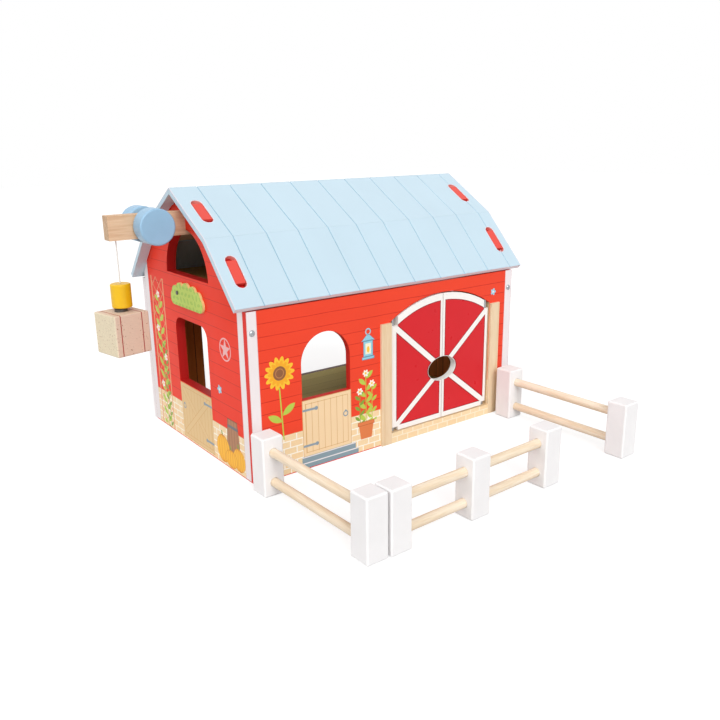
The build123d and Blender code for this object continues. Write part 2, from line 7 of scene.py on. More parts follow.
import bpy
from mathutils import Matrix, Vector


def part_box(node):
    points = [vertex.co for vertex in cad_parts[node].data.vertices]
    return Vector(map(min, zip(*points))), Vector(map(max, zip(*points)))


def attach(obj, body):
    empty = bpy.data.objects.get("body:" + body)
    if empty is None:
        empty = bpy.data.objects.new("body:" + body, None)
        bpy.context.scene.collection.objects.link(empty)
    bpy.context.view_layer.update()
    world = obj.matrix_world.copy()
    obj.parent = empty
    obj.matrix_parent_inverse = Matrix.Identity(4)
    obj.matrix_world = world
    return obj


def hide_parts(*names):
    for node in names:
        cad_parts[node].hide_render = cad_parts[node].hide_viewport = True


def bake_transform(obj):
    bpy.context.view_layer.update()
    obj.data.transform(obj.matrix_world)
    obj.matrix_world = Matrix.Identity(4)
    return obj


bl_info = {
    "name": "Toy barn finishes",
    "version": (1, 0, 0),
    "blender": (4, 5, 0),
    "location": "3D View > Sidebar > Toy barn",
    "description": "Paints the boards of a toy barn and makes its string, winding and screws",
    "category": "Object",
}

from math import cos, pi, radians, sin, sqrt, tau

import bpy
import numpy as np
from mathutils import Matrix, Vector

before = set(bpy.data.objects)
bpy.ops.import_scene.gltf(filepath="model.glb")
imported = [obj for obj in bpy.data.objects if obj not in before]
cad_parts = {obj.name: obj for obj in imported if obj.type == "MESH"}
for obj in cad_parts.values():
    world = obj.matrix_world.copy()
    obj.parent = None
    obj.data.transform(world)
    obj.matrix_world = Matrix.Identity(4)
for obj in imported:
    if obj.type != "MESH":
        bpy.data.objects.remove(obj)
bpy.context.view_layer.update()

MM = 0.001


def low(node):
    """Lowest corner of a node's box."""
    return [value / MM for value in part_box(node)[0]]


def high(node):
    """Highest corner of a node's box."""
    return [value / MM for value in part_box(node)[1]]


def middle(node):
    """Middle of a node's box."""
    return [(a + b) / 2 for a, b in zip(low(node), high(node))]


# --- Places on the barn, from the frame ------------------------------------------------------------
FRONT = low("front_wall")[1]
BACK = high("back_wall")[1]
LEFT = low("left_gable")[0]
RIGHT = high("right_gable")[0]
WALL, GABLE = 8.0, 12.0             # thickness of the long walls and of the gables
DOOR_MIDDLE = middle("door_threshold")[0]
DOORWAY_HALF = (high("door_threshold")[0] - low("door_threshold")[0]) / 2 - 0.5
SPRING = high("left_door_jamb")[2] + 1.0
DOOR_RISE = 25.0
LEAF_FACE = low("left_door_leaf")[1]
LEAF_BOTTOM = low("left_door_leaf")[2]
PLAQUE_FACE = low("loft_plaque")[0]
AXLE = middle("winch_axle")
STRING_X = middle("hoist_string")[0]
BEAM_BOTTOM = low("hoist_beam")[2]
MAGNET_TOP = high("magnet_holder")[2]
BALE_MIDDLE = middle("hay_bale")
BALE_TURN = 11.4                    # degrees about its upright axis
BALE_HALF = (high("hay_bale")[0] - BALE_MIDDLE[0]) / (cos(radians(BALE_TURN)) + sin(radians(BALE_TURN)))
ROOF_END = high("front_roof_upper")[0]
BEND = (high("front_roof_lower")[2], -low("front_roof_upper")[1])   # height, reach from the ridge
ROOF_THICKNESS = 6.0
UPPER_SLOPE = (-0.5204, -0.8539)    # inward normal of the upper roof boards: reach, height
LOWER_SLOPE = (-0.7328, -0.6806)
SLOTS = (((40.2, 289.3), UPPER_SLOPE), ((111.05, 231.8), LOWER_SLOPE))  # middles and slopes
SLOT_X, SLOT_HALF, SLOT_RADIUS = 194, 13.9, 6.6
GROOVE_START = 179                  # the first groove's distance from the middle


def srgb(red, green, blue):
    """Linear colour of an 8-bit screen colour."""
    def linear(value):
        value /= 255
        return value / 12.92 if value <= 0.04045 else ((value + 0.055) / 1.055) ** 2.4
    return (linear(red), linear(green), linear(blue))


# --- What a user can change --------------------------------------------------------------------------
def tint_property(name, words, *value):
    """A colour property with a screen colour as its default."""
    return bpy.props.FloatVectorProperty(name=name, description=words, subtype="COLOR", size=3,
                                         min=0, max=1, default=srgb(*value))


def length_property(name, words, value):
    """A length property in metres, with its default given in millimetres."""
    return bpy.props.FloatProperty(name=name, description=words, subtype="DISTANCE", unit="LENGTH",
                                   default=value * MM, min=0, precision=4)


class BarnColours(bpy.types.PropertyGroup):
    front_red: tint_property("Front red", "Paint of the long walls", 239, 73, 48)
    gable_red: tint_property("Gable red", "Paint of the end walls", 238, 58, 35)
    edge_red: tint_property("Edge red", "Paint on the front wall's cut edges", 226, 52, 44)
    gable_edge: tint_property("Gable edge", "Paint on the gables' cut edges", 196, 36, 34)
    plank_line: tint_property("Plank line", "Printed line between two planks", 186, 36, 30)
    trim_white: tint_property("Corner boards", "Printed corner boards", 240, 232, 233)
    trim_line: tint_property("Corner board line", "Edge of a printed corner board", 214, 182, 180)
    brick: tint_property("Brick", "Printed bricks of the plinth", 244, 219, 176)
    brick_dark: tint_property("Brick, darker", "Darker printed bricks", 246, 208, 158)
    mortar: tint_property("Mortar", "Joints between the printed bricks", 255, 250, 238)
    plank_cream: tint_property("Half-door", "Printed planks of the half-doors", 244, 214, 172)
    plank_brown: tint_property("Half-door lines", "Lines between the half-doors' planks", 214, 168, 108)
    iron: tint_property("Printed iron", "Printed hinges and latches", 142, 160, 172)
    step_grey: tint_property("Step", "Printed stone step", 138, 158, 168)
    sun_yellow: tint_property("Petal yellow", "Petals, pumpkins and straw", 250, 198, 60)
    seed_brown: tint_property("Seed brown", "Seed head, barrel and stems", 146, 98, 66)
    leaf_green: tint_property("Leaf green", "Leaves and stems", 186, 206, 84)
    leaf_dark: tint_property("Leaf green, darker", "Ribs and shaded leaves", 132, 164, 66)
    sky_blue: tint_property("Light blue", "Lantern and little flowers", 150, 208, 226)
    clay: tint_property("Clay", "Printed flower pot", 224, 128, 78)
    blush: tint_property("Blush", "Printed barn star", 238, 184, 184)
    roof_blue: tint_property("Roof blue", "Paint on the roof", 194, 215, 227)
    groove_blue: tint_property("Groove blue", "Paint in the roof's grooves", 146, 188, 206)
    # Primer on the cut edges, also laid along the top edges of the roof's ends as a painted highlight.
    board_edge: tint_property("Roof edge", "Primed cut edges of the roof boards", 238, 222, 228)
    underside: tint_property("Roof underside", "Primer on the roof's underside", 206, 226, 238)
    inner_brown: tint_property("Inner walls", "Stain on the inner faces of the walls", 184, 104, 50)
    tab_red: tint_property("Tab red", "Paint on the gables' tabs", 226, 84, 74)
    # Slot walls: tab red lightened as painted light, to offset the shade inside the slots.
    slot_wall: tint_property("Slot wall", "Paint on the walls of the roof's slots", 255, 168, 158)
    beam_light: tint_property("Beam, light", "Spring wood of the hoist's beam", 230, 196, 162)
    beam_dark: tint_property("Beam, dark", "Summer wood of the hoist's beam", 212, 172, 136)
    rail_light: tint_property("Rails, light", "Spring wood of the fences' rails", 244, 229, 207)
    rail_dark: tint_property("Rails, dark", "Summer wood of the fences' rails", 232, 209, 178)
    gable_cream: tint_property("Gable half-door", "Printed planks, gable's half-door", 228, 196, 144)
    # Dark brown on the back wall's cut edges is painted shade.
    back_edge_painted_shade: tint_property("Back wall's edges", "Stain on the back wall's cut edges", 84, 42, 24)
    # Dark steel of the magnet and plate; on the plaque pin the same dark colour is painted shade.
    dark_steel: tint_property("Dark steel", "Blackened magnet, plate and plaque pin", 84, 82, 80)
    wheel_blue: tint_property("Wheel blue", "Paint on the winch wheels", 148, 186, 214)
    yellow: tint_property("Yellow", "Paint on the magnet's holder", 232, 184, 18)
    door_white: tint_property("Door white", "Paint on the big doors", 248, 245, 241)
    door_red: tint_property("Door red", "Printed panels of the big doors", 214, 36, 44)
    door_line: tint_property("Door line", "Outline of the printed panels", 132, 22, 32)
    floor_olive: tint_property("Floor olive", "Paint on the floor and loft", 192, 174, 108)
    post_white: tint_property("Post white", "Paint on the fence posts", 242, 240, 240)
    plaque_green: tint_property("Plaque green", "Paint on the plaque", 190, 214, 104)
    plaque_edge: tint_property("Plaque edge", "Rim of the plaque", 238, 222, 150)
    wood_light: tint_property("Wood, light", "Spring wood of the bare pieces", 238, 214, 180)
    wood_dark: tint_property("Wood, dark", "Summer wood of the bare pieces", 226, 194, 152)
    bale_end: tint_property("Bale's ends", "Print on the bale's ends", 226, 212, 184)
    bale_side: tint_property("Bale's sides", "Print on the bale's long sides", 220, 197, 176)
    bale_band: tint_property("Bale band", "Printed bands round the bale", 160, 44, 42)
    string: tint_property("String", "Cotton string", 235, 232, 226)
    zinc: tint_property("Zinc", "Plated screws, pins and discs", 172, 176, 180)


class BarnSizes(bpy.types.PropertyGroup):
    plank_pitch: length_property("Plank", "Height of one printed plank", 14.6)
    trim_width: length_property("Corner board", "Width of the printed corner boards", 12.0)
    plinth_height: length_property("Plinth", "Height of the printed brick plinth", 48.0)
    brick_length: length_property("Brick length", "Length of one printed brick", 17.0)
    brick_height: length_property("Brick height", "Height of one printed brick", 8.0)
    groove_pitch: length_property("Groove pitch", "Distance between the roof's grooves", 41.3)
    string_diameter: length_property("String", "Diameter of the string", 1.6)
    light: bpy.props.FloatProperty(name="Light", description="Strength of the studio's lamps",
                                   subtype="FACTOR", default=1.0, min=0, max=3)


def colours():
    """The user's colours, each as a plain tuple."""
    held = bpy.context.scene.barn_colours
    return {key: tuple(getattr(held, key)) for key in BarnColours.__annotations__}


def size(key):
    """One of the user's sizes in millimetres."""
    return getattr(bpy.context.scene.barn_sizes, key) / MM


# --- Shader maths --------------------------------------------------------------------------------------
class Value:
    """A shader socket with Python's operators. A shape is a value that is below 0 inside its outline."""

    def __init__(self, sheet, socket):
        self.sheet, self.socket = sheet, socket

    def math(self, operation, *others):
        return self.sheet.node("ShaderNodeMath", {"operation": operation}, [self, *others])

    def __add__(self, other):
        return self.math("ADD", other)

    def __sub__(self, other):
        return self.math("SUBTRACT", other)

    def __rsub__(self, other):
        return self.sheet.node("ShaderNodeMath", {"operation": "SUBTRACT"}, [other, self])

    def __mul__(self, other):
        return self.math("MULTIPLY", other)

    def __truediv__(self, other):
        return self.math("DIVIDE", other)

    def __mod__(self, other):
        return self.math("FLOORED_MODULO", other)

    def __abs__(self):
        return self.math("ABSOLUTE")

    __radd__, __rmul__ = __add__, __mul__

    def floor(self):
        return self.math("FLOOR")

    def cosine(self):
        return self.math("COSINE")

    def over(self, limit):
        """1 where the value is above a limit, else 0."""
        return self.math("GREATER_THAN", limit)

    def join(self, *others):
        """Shape that covers this one and the others."""
        shape = self
        for other in others:
            shape = shape.math("MINIMUM", other)
        return shape

    def meet(self, *others):
        """Shape that this one and the others share."""
        shape = self
        for other in others:
            shape = shape.math("MAXIMUM", other)
        return shape

    def less(self, *others):
        """This shape with the others cut away."""
        return self.meet(*[0 - other for other in others])

    def outline(self, width):
        """Line along the inner side of this shape's outline."""
        return abs(self + width / 2) - width / 2


class Sheet:
    """A node tree, filled from one method."""

    def __init__(self, owner):
        owner.use_nodes = True
        self.tree = owner.node_tree
        self.tree.nodes.clear()

    def node(self, kind, settings, inputs, output=0):
        """Adds a node: its settings first, then the values or links of its sockets."""
        node = self.tree.nodes.new(kind)
        for key, value in settings.items():
            if key == "stops":
                ramp = node.color_ramp
                while len(ramp.elements) < len(value):
                    ramp.elements.new(0.5)
                for element, (position, tint) in zip(ramp.elements, value):
                    element.position, element.color = position, (*tint, 1)
            else:
                setattr(node, key, value)
        for key, value in (inputs.items() if isinstance(inputs, dict) else enumerate(inputs)):
            socket = node.inputs[key]
            if isinstance(value, Value):
                self.tree.links.new(value.socket, socket)
            else:
                opaque = socket.type == "RGBA" and len(value) == 3
                socket.default_value = (*value, 1) if opaque else value
        return Value(self, node.outputs[output]) if node.outputs else None


class Paint(Sheet):
    """A finish. Its x, y and z are the place on the piece."""

    def __init__(self, name):
        self.material = bpy.data.materials.new(name)
        super().__init__(self.material)
        self.place = self.node("ShaderNodeTexCoord", {}, {}, "Object")
        scaled = self.scaled(self.place, 1 / MM)
        axes = self.tree.nodes.new("ShaderNodeSeparateXYZ")
        self.tree.links.new(scaled.socket, axes.inputs[0])
        self.x, self.y, self.z = (Value(self, axes.outputs[axis]) for axis in "XYZ")

    def scaled(self, vector, share):
        """A vector or colour times a number."""
        return self.node("ShaderNodeVectorMath", {"operation": "SCALE"},
                         {"Vector": vector, "Scale": share})

    def cloud(self, size_mm, detail=2.0, stretch=(1, 1, 1), distortion=0.0):
        """Cloudy value from 0 to 1, with features of about this size, longer where stretch is low."""
        place = self.node("ShaderNodeMapping", {}, {"Vector": self.place, "Scale": stretch})
        return self.node("ShaderNodeTexNoise", {}, {"Vector": place, "Scale": 1 / (size_mm * MM),
                                                    "Detail": detail, "Distortion": distortion})

    def chance(self, column, row):
        """Random value from 0 to 1, the same all over one cell."""
        cell = self.node("ShaderNodeCombineXYZ", {}, [column, row])
        return self.node("ShaderNodeTexWhiteNoise", {"noise_dimensions": "2D"}, {"Vector": cell})

    def reach(self, u, v):
        """Distance of (u, v) from the origin."""
        point = self.node("ShaderNodeCombineXYZ", {}, [u, v])
        return self.node("ShaderNodeVectorMath", {"operation": "LENGTH"}, {"Vector": point}, "Value")

    def turned(self, u, v, centre, degrees):
        """(u, v) seen from a centre, turned back by an angle."""
        c, s = cos(radians(degrees)), sin(radians(degrees))
        u, v = u - centre[0], v - centre[1]
        return u * c + v * s, v * c - u * s

    def disc(self, u, v, centre, radius):
        """Shape: distance from the centre, less the radius."""
        return self.reach(u - centre[0], v - centre[1]) - radius

    def oval(self, u, v, centre, half_u, half_v):
        """Shape: the stretched point's distance from a unit circle, scaled by the smaller half."""
        return (self.reach((u - centre[0]) / half_u, (v - centre[1]) / half_v) - 1) * min(half_u, half_v)

    def bar(self, value, start, end):
        """Shape: the stretch of one coordinate from start to end."""
        return abs(value - (start + end) / 2) - (end - start) / 2

    def board(self, u, v, left, right, bottom, top):
        """Shape: a rectangle."""
        return self.bar(u, left, right).meet(self.bar(v, bottom, top))

    def stroke(self, u, v, start, end, width):
        """Shape: distance from the nearest point of a straight line, less half its width."""
        run_u, run_v = end[0] - start[0], end[1] - start[1]
        square = run_u ** 2 + run_v ** 2
        u, v = u - start[0], v - start[1]
        share = self.node("ShaderNodeMath", {"operation": "MULTIPLY_ADD", "use_clamp": True},
                          [u, run_u / square, v * (run_v / square)])
        return self.reach(u - share * run_u, v - share * run_v) - width / 2

    def leaf(self, u, v, centre, degrees, length, width):
        """Shape: a pointed leaf, which is what two circles through its tips share."""
        radius = (length ** 2 + width ** 2) / (4 * width)
        along, across = self.turned(u, v, centre, degrees)
        return self.reach(along, abs(across) + (radius - width / 2)) - radius

    def angle(self, across, up):
        """Angle of a direction, in radians."""
        return self.node("ShaderNodeMath", {"operation": "ARCTAN2"}, [across, up])

    def flower(self, u, v, centre, radius, petals, depth):
        """Shape: a circle whose radius swells with |cos(n a / 2)| at each petal."""
        u, v = u - centre[0], v - centre[1]
        angle = self.angle(v, u)
        swell = abs((angle * (petals / 2)).cosine())
        return self.reach(u, v) - (swell * depth + (radius - depth))

    def sprig(self, u, v, stem, bottom, top, pitch, leaf_length, leaf_width):
        """Shape: a stem with alternating leaves, by folding the plane at the stem and along it."""
        side = (u - stem).over(0)
        folded = (v - bottom + side * (pitch / 2)) % pitch
        centre = (leaf_length * 0.42, pitch * 0.5)
        leaf = self.leaf(abs(u - stem), folded, centre, 42, leaf_length, leaf_width)
        return (abs(u - stem) - 0.5).join(leaf).meet(self.bar(v, bottom, top))

    def inside(self, shape, soft=0.2):
        """1 inside a shape and 0 outside it, with an edge as soft as a print's."""
        return self.node("ShaderNodeMapRange", {"interpolation_type": "SMOOTHSTEP"},
                         {"Value": shape, "From Min": soft, "From Max": -soft})

    def mix(self, first, second, share):
        """The first colour with the second over it where share is 1."""
        return self.node("ShaderNodeMix", {"data_type": "RGBA"}, {0: share, 6: first, 7: second}, 2)

    def print(self, tint, layers):
        """Prints layers of (shape, colour) one over another."""
        for shape, ink in layers:
            tint = self.mix(tint, ink, self.inside(shape))
        return tint

    def vary(self, tint, value, darkest, lightest):
        """A colour scaled between two shares by a value from 0 to 1."""
        share = self.node("ShaderNodeMapRange", {}, {"Value": value, "From Min": 0.25, "From Max": 0.75,
                                                     "To Min": darkest, "To Max": lightest})
        return self.scaled(tint, share)

    def finish(self, tint, roughness, height=None, depth=0.03, edge=0.5, metallic=0.0, shine=0.4):
        """Closes the finish: colour, gloss, bump of a depth in millimetres, and broken edges."""
        normal = self.node("ShaderNodeBevel", {"samples": 4}, {"Radius": edge * MM})
        if height is not None:
            normal = self.node("ShaderNodeBump", {}, {"Distance": depth * MM, "Height": height,
                                                      "Normal": normal})
        shader = self.node("ShaderNodeBsdfPrincipled", {}, {
            "Base Color": tint, "Roughness": roughness, "Normal": normal, "Metallic": metallic,
            "Specular IOR Level": shine})
        self.node("ShaderNodeOutputMaterial", {}, {"Surface": shader})
        return self.material

    def painted(self, tint, roughness=0.4, roller=0.012, shine=0.12):
        """Closes a painted board: a roller's fine peel, slow changes of tone and broken corners."""
        peel = self.cloud(0.9, 3)
        tone = self.vary(tint, self.cloud(55, 3), 0.97, 1.015)
        gloss = self.cloud(14, 3) * 0.14 + (roughness - 0.07)
        return self.finish(tone, gloss, peel, roller, shine=shine)

    def wooden(self, tint, grain):
        """Closes bare wood, rougher along its fibres."""
        return self.finish(tint, grain * 0.15 + 0.55, grain, 0.06, shine=0.25)

    def roof_depth(self):
        """Depth below the roof's skin, and 1 where it is the upper boards' (0 for the lower ones)."""
        reach, rise = abs(self.y) - BEND[1], self.z - BEND[0]
        upper, lower = (reach * slope[0] + rise * slope[1] for slope in (UPPER_SLOPE, LOWER_SLOPE))
        high_up = rise.over(0)
        return lower + (upper - lower) * high_up, high_up


def wear(node_names, material):
    """Puts a finish on CAD nodes."""
    for name in node_names:
        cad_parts[name].data.materials.clear()
        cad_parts[name].data.materials.append(material)


# --- Surfaces ----------------------------------------------------------------------------------------
def tube_surface(rings):
    """Closed mesh over a grid of points P(ring, side) that goes round at each ring, with flat ends."""
    count, sides = rings.shape[:2]
    index = np.arange(count * sides).reshape(count, sides)
    after = np.roll(index, -1, axis=1)
    walls = np.stack([index[:-1], after[:-1], after[1:], index[1:]], axis=-1).reshape(-1, 4)
    return rings.reshape(-1, 3), [*walls.tolist(), index[0, ::-1].tolist(), index[-1].tolist()]


def swept_tube(line, radius, sides, upright):
    """Tube P(s, a) = C(s) + r (cos a N + sin a B), where N is square to the line and to `upright`."""
    ahead, across, above = line_frames(line, upright)
    angle = np.linspace(0, tau, sides, endpoint=False)[None, :, None]
    return line[:, None] + radius * (np.cos(angle) * across[:, None] + np.sin(angle) * above[:, None])


def line_frames(line, upright):
    """Unit vectors along a line, square to it and to `upright`, and square to both."""
    ahead = np.gradient(line, axis=0)
    ahead /= np.linalg.norm(ahead, axis=1, keepdims=True)
    across = np.cross(ahead, upright)
    across /= np.linalg.norm(across, axis=1, keepdims=True)
    return ahead, across, np.cross(across, ahead)


def twisted_strands(line, diameter, upright, strands=3, sides=8, lay=4.8):
    """Strands of a laid string: C(s) + q (cos b N + sin b B), b = 2 pi s / lay + 2 pi k / strands.

    Three strands that touch fill the string's diameter d when each is d / (1 + 2 / sqrt 3) thick."""
    strand = diameter / (1 + 2 / sqrt(3)) / 2 * 1.04
    offset = diameter / 2 - strand
    _, across, above = line_frames(line, upright)
    steps = np.linalg.norm(np.diff(line, axis=0), axis=1)
    run = np.concatenate([[0], np.cumsum(steps)])
    turn = (tau * (run - run[-1]) / lay)[:, None]
    parts = []
    for number in range(strands):
        lean = turn + tau * number / strands
        centre = line + offset * (np.cos(lean) * across + np.sin(lean) * above)
        parts.append(tube_surface(swept_tube(centre, strand, sides, upright)))
    return parts


def screw_surface(profile, sides=72, arm=1.9, slit=0.42, recess=1.1, pitch=1.25, thread=0.32):
    """Turned screw, head up along +Z: (r(t) cos a, r(t) sin a, h(t)) over a profile of (r, h, threaded).

    The head loses `recess` inside a cross of two slits. The shank's radius loses
    thread * |2 frac(h / pitch + a / 2 pi) - 1|."""
    profile = np.array(profile, float)
    angle = np.linspace(0, tau, sides, endpoint=False)
    radius, height, threaded = (profile[:, k, None] + 0 * angle for k in range(3))
    phase = (height / pitch + angle / tau) % 1
    radius = radius - threaded * thread * np.abs(2 * phase - 1)
    across, along = radius * np.cos(angle), radius * np.sin(angle)
    near = np.minimum(np.abs(across), np.abs(along)) - slit
    far = np.maximum(np.abs(across), np.abs(along)) - arm
    edge = np.clip(0.5 - np.maximum(near, far) / 0.2, 0, 1)
    sunk = edge * edge * (3 - 2 * edge) * (1 - 0.55 * np.clip(np.hypot(across, along) / arm, 0, 1))
    height = height - recess * sunk * (threaded == 0) * (radius < 3.4)
    return np.stack([across, along, height], axis=-1)


def moved(points, origin, direction):
    """Points turned so that +Z becomes `direction`, and carried to `origin`."""
    turn = np.array(Vector(direction).to_track_quat("Z", "Y").to_matrix())
    return points @ turn.T + np.array(origin)


def add_piece(name, parts, material, replaced):
    """Adds one object over parts of (points, faces), turned outwards, in metres."""
    points, faces, start = [], [], 0
    for part_points, part_faces in parts:
        corners = [part_points[face] for face in part_faces]
        volume = sum(float(np.dot(c[0], np.cross(c[1:-1], c[2:]).sum(axis=0))) for c in corners)
        faces += [[start + i for i in (face if volume > 0 else face[::-1])] for face in part_faces]
        points.append(part_points)
        start += len(part_points)
    mesh = bpy.data.meshes.new(name)
    mesh.from_pydata((np.concatenate(points) * MM).tolist(), [], faces)
    mesh.polygons.foreach_set("use_smooth", np.ones(len(faces), bool))
    mesh.materials.append(material)
    piece = bpy.data.objects.new(name, mesh)
    bpy.context.scene.collection.objects.link(piece)
    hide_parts(*replaced)
    return piece


# --- Stage -------------------------------------------------------------------------------------------
CAMERA_PLACE = (-562.58, -814.90, 363.98)
CAMERA_AZIMUTH, CAMERA_ELEVATION, CAMERA_ROLL = radians(-36.91), radians(16.338), radians(-0.755)
SENSOR = 36
CAMERA_FOCAL = 757.52 / 720 * SENSOR
FLOOR_REACH, FLOOR_HEIGHT = 6.0, -0.0001
SKY_LIGHT = 0.42                    # what the surroundings give the object; they show as 1
FLOOR_SHOWN, FLOOR_LIFT = 0.4, 0.71     # shadows and white of the floor as it is seen
FLOOR_BOUNCE = 0.6                  # what the floor gives back to the object
LAMPS = (("key", -15, 35, 1.9, 40), ("fill", -85, 32, 1.15, 60), ("back", 150, 50, 0.3, 60))


class BARN_OT_stage(bpy.types.Operator):
    """Camera, floor, white surroundings and soft lamps"""
    bl_idname = "barn.stage"
    bl_label = "Stage"

    def execute(self, context):
        a, e, r = CAMERA_AZIMUTH, CAMERA_ELEVATION, CAMERA_ROLL
        back = Vector((sin(a) * cos(e), -cos(a) * cos(e), sin(e)))
        right = Vector((cos(a), sin(a), 0))
        up = back.cross(right)
        axes = Matrix((cos(r) * right + sin(r) * up, cos(r) * up - sin(r) * right, back)).transposed()
        lens = bpy.data.cameras.new("camera")
        lens.sensor_width, lens.lens = SENSOR, CAMERA_FOCAL
        lens.clip_start, lens.clip_end = 0.01, 20
        camera = bpy.data.objects.new("camera", lens)
        camera.matrix_world = Matrix.Translation(Vector(CAMERA_PLACE) * MM) @ axes.to_4x4()
        context.scene.collection.objects.link(camera)
        context.scene.camera = camera
        context.scene.view_settings.view_transform = "Standard"

        world = bpy.data.worlds.new("surroundings")
        context.scene.world = world
        sky = Sheet(world)
        seen = self.seen(sky)
        dim = sky.node("ShaderNodeBackground", {}, {"Color": (1, 1, 1), "Strength": SKY_LIGHT})
        white = sky.node("ShaderNodeBackground", {}, {"Color": (1, 1, 1), "Strength": 1.0})
        both = sky.node("ShaderNodeMixShader", {}, {0: seen, 1: dim, 2: white})
        sky.node("ShaderNodeOutputWorld", {}, {"Surface": both})

        ground = bpy.data.meshes.new("floor")
        corners = ((-1, -1), (1, -1), (1, 1), (-1, 1))
        ground.from_pydata([(x * FLOOR_REACH, y * FLOOR_REACH, FLOOR_HEIGHT) for x, y in corners],
                           [], [(0, 1, 2, 3)])
        material = bpy.data.materials.new("studio_floor")
        paint = Sheet(material)
        direct = paint.node("ShaderNodeBsdfDiffuse", {}, {"Color": (FLOOR_SHOWN,) * 3})
        lift = paint.node("ShaderNodeEmission", {}, {"Color": (1, 1, 1), "Strength": FLOOR_LIFT})
        shown = paint.node("ShaderNodeAddShader", {}, {0: direct, 1: lift})
        bounced = paint.node("ShaderNodeBsdfDiffuse", {}, {"Color": (FLOOR_BOUNCE,) * 3})
        surface = paint.node("ShaderNodeMixShader", {}, {0: self.seen(paint), 1: bounced, 2: shown})
        paint.node("ShaderNodeOutputMaterial", {}, {"Surface": surface})
        ground.materials.append(material)
        floor = bpy.data.objects.new("floor", ground)
        context.scene.collection.objects.link(floor)

        strength = context.scene.barn_sizes.light
        for name, azimuth, elevation, power, softness in LAMPS:
            lamp = bpy.data.lights.new(name, "SUN")
            lamp.energy, lamp.angle = power * strength, radians(softness)
            sun = bpy.data.objects.new(name, lamp)
            a, e = radians(azimuth), radians(elevation)
            towards = Vector((sin(a) * cos(e), -cos(a) * cos(e), sin(e)))
            sun.matrix_world = towards.to_track_quat("Z", "Y").to_matrix().to_4x4()
            context.scene.collection.objects.link(sun)
        return {"FINISHED"}

    def seen(self, sheet):
        """1 for rays from the camera, from gloss or through glass."""
        path = sheet.tree.nodes.new("ShaderNodeLightPath")
        flags = [Value(sheet, path.outputs[name]) for name in
                 ("Is Camera Ray", "Is Glossy Ray", "Is Transmission Ray")]
        return flags[0].meet(*flags[1:])


# --- Hoist -------------------------------------------------------------------------------------------
def string_material():
    tint = colours()["string"]
    paint = Paint("cotton_string")
    fibre = paint.cloud(0.16, 2, (1, 1, 0.4))
    return paint.finish(paint.vary(tint, fibre, 0.82, 1.06), 0.9, fibre, 0.04, edge=0.05)


class BARN_OT_hoist_string(bpy.types.Operator):
    """Three-strand string from the winding over the guide pin to the magnet"""
    bl_idname = "barn.hoist_string"
    bl_label = "Hoist string"

    def execute(self, context):
        material = string_material()
        diameter = size("string_diameter")
        upright = np.array([0.0, 1.0, 0.0])

        curve = bpy.data.curves.new("string_route", "CURVE")
        curve.dimensions, curve.resolution_u = "3D", 24
        spline = curve.splines.new("NURBS")
        heights = (BEAM_BOTTOM, 245.0, 228.0, MAGNET_TOP)
        spline.points.add(len(heights) - 1)
        for point, height in zip(spline.points, heights):
            point.co = (STRING_X * MM, 0, height * MM, 1)
        spline.order_u, spline.use_endpoint_u = 3, True
        route = bpy.data.objects.new("string_route", curve)
        outline = bpy.data.meshes.new_from_object(route)
        points = np.array([vertex.co[:] for vertex in outline.vertices]) / MM
        share = np.linspace(0, 1, 121)
        places = np.linspace(0, 1, len(points))
        line = np.stack([np.interp(share, places, points[:, k]) for k in range(3)], axis=1)
        bpy.data.meshes.remove(outline)
        bpy.data.objects.remove(route)

        hanging = twisted_strands(line[::-1], diameter, upright)
        piece = add_piece("hoist_string_strands", hanging, material, ["hoist_string"])
        start, end = (STRING_X * MM, 0, BEAM_BOTTOM * MM), (STRING_X * MM, 0, MAGNET_TOP * MM)
        diameter * MM
        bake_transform(piece)

        pin_x, _, pin_z = middle("guide_pin")
        bend = pin_x - STRING_X
        height = pin_z + bend
        level = np.linspace(AXLE[0] - 1.7, pin_x, 60)
        turn = np.linspace(0, pi / 2, 24)[1:]
        drop = np.linspace(pin_z, BEAM_BOTTOM, 12)[1:]
        lead = np.concatenate([
            np.stack([level, 0 * level, 0 * level + height], axis=1),
            np.stack([pin_x - bend * np.sin(turn), 0 * turn, pin_z + bend * np.cos(turn)], axis=1),
            np.stack([0 * drop + STRING_X, 0 * drop, drop], axis=1)])
        piece = add_piece("string_lead_strands", twisted_strands(lead, diameter, upright), material,
                          ["string_lead"])
        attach(piece, "barn")

        core = (high("winch_axle")[2] - low("winch_axle")[2]) / 2
        half = high("string_winding")[1] - diameter / 2
        inner, outer = core + diameter / 2, AXLE[2] - height
        wide = 2 * half / diameter    # turns in the full inner layer; the outer one has half as many
        turns = np.linspace(-1.5 * wide, 0, 480)
        layer = np.clip((turns + 0.5 * wide) / 0.12 + 0.5, 0, 1)
        radius = inner + (outer - inner) * layer * layer * (3 - 2 * layer)
        # The outer layer keeps clear of the lead as it turns.
        slip = np.clip((-turns - 0.12) / 0.6, 0, 1)
        across = np.where(turns < -0.5 * wide, -half - (turns / wide + 0.5) * 2 * half,
                          -half * slip * slip * (3 - 2 * slip))
        angle = -pi / 2 - tau * turns
        winding = np.stack([AXLE[0] + radius * np.cos(angle), across, AXLE[2] + radius * np.sin(angle)],
                           axis=1)
        piece = add_piece("string_winding_strands", twisted_strands(winding, diameter, upright, sides=6),
                          material, ["string_winding"])
        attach(piece, "winch")
        return {"FINISHED"}


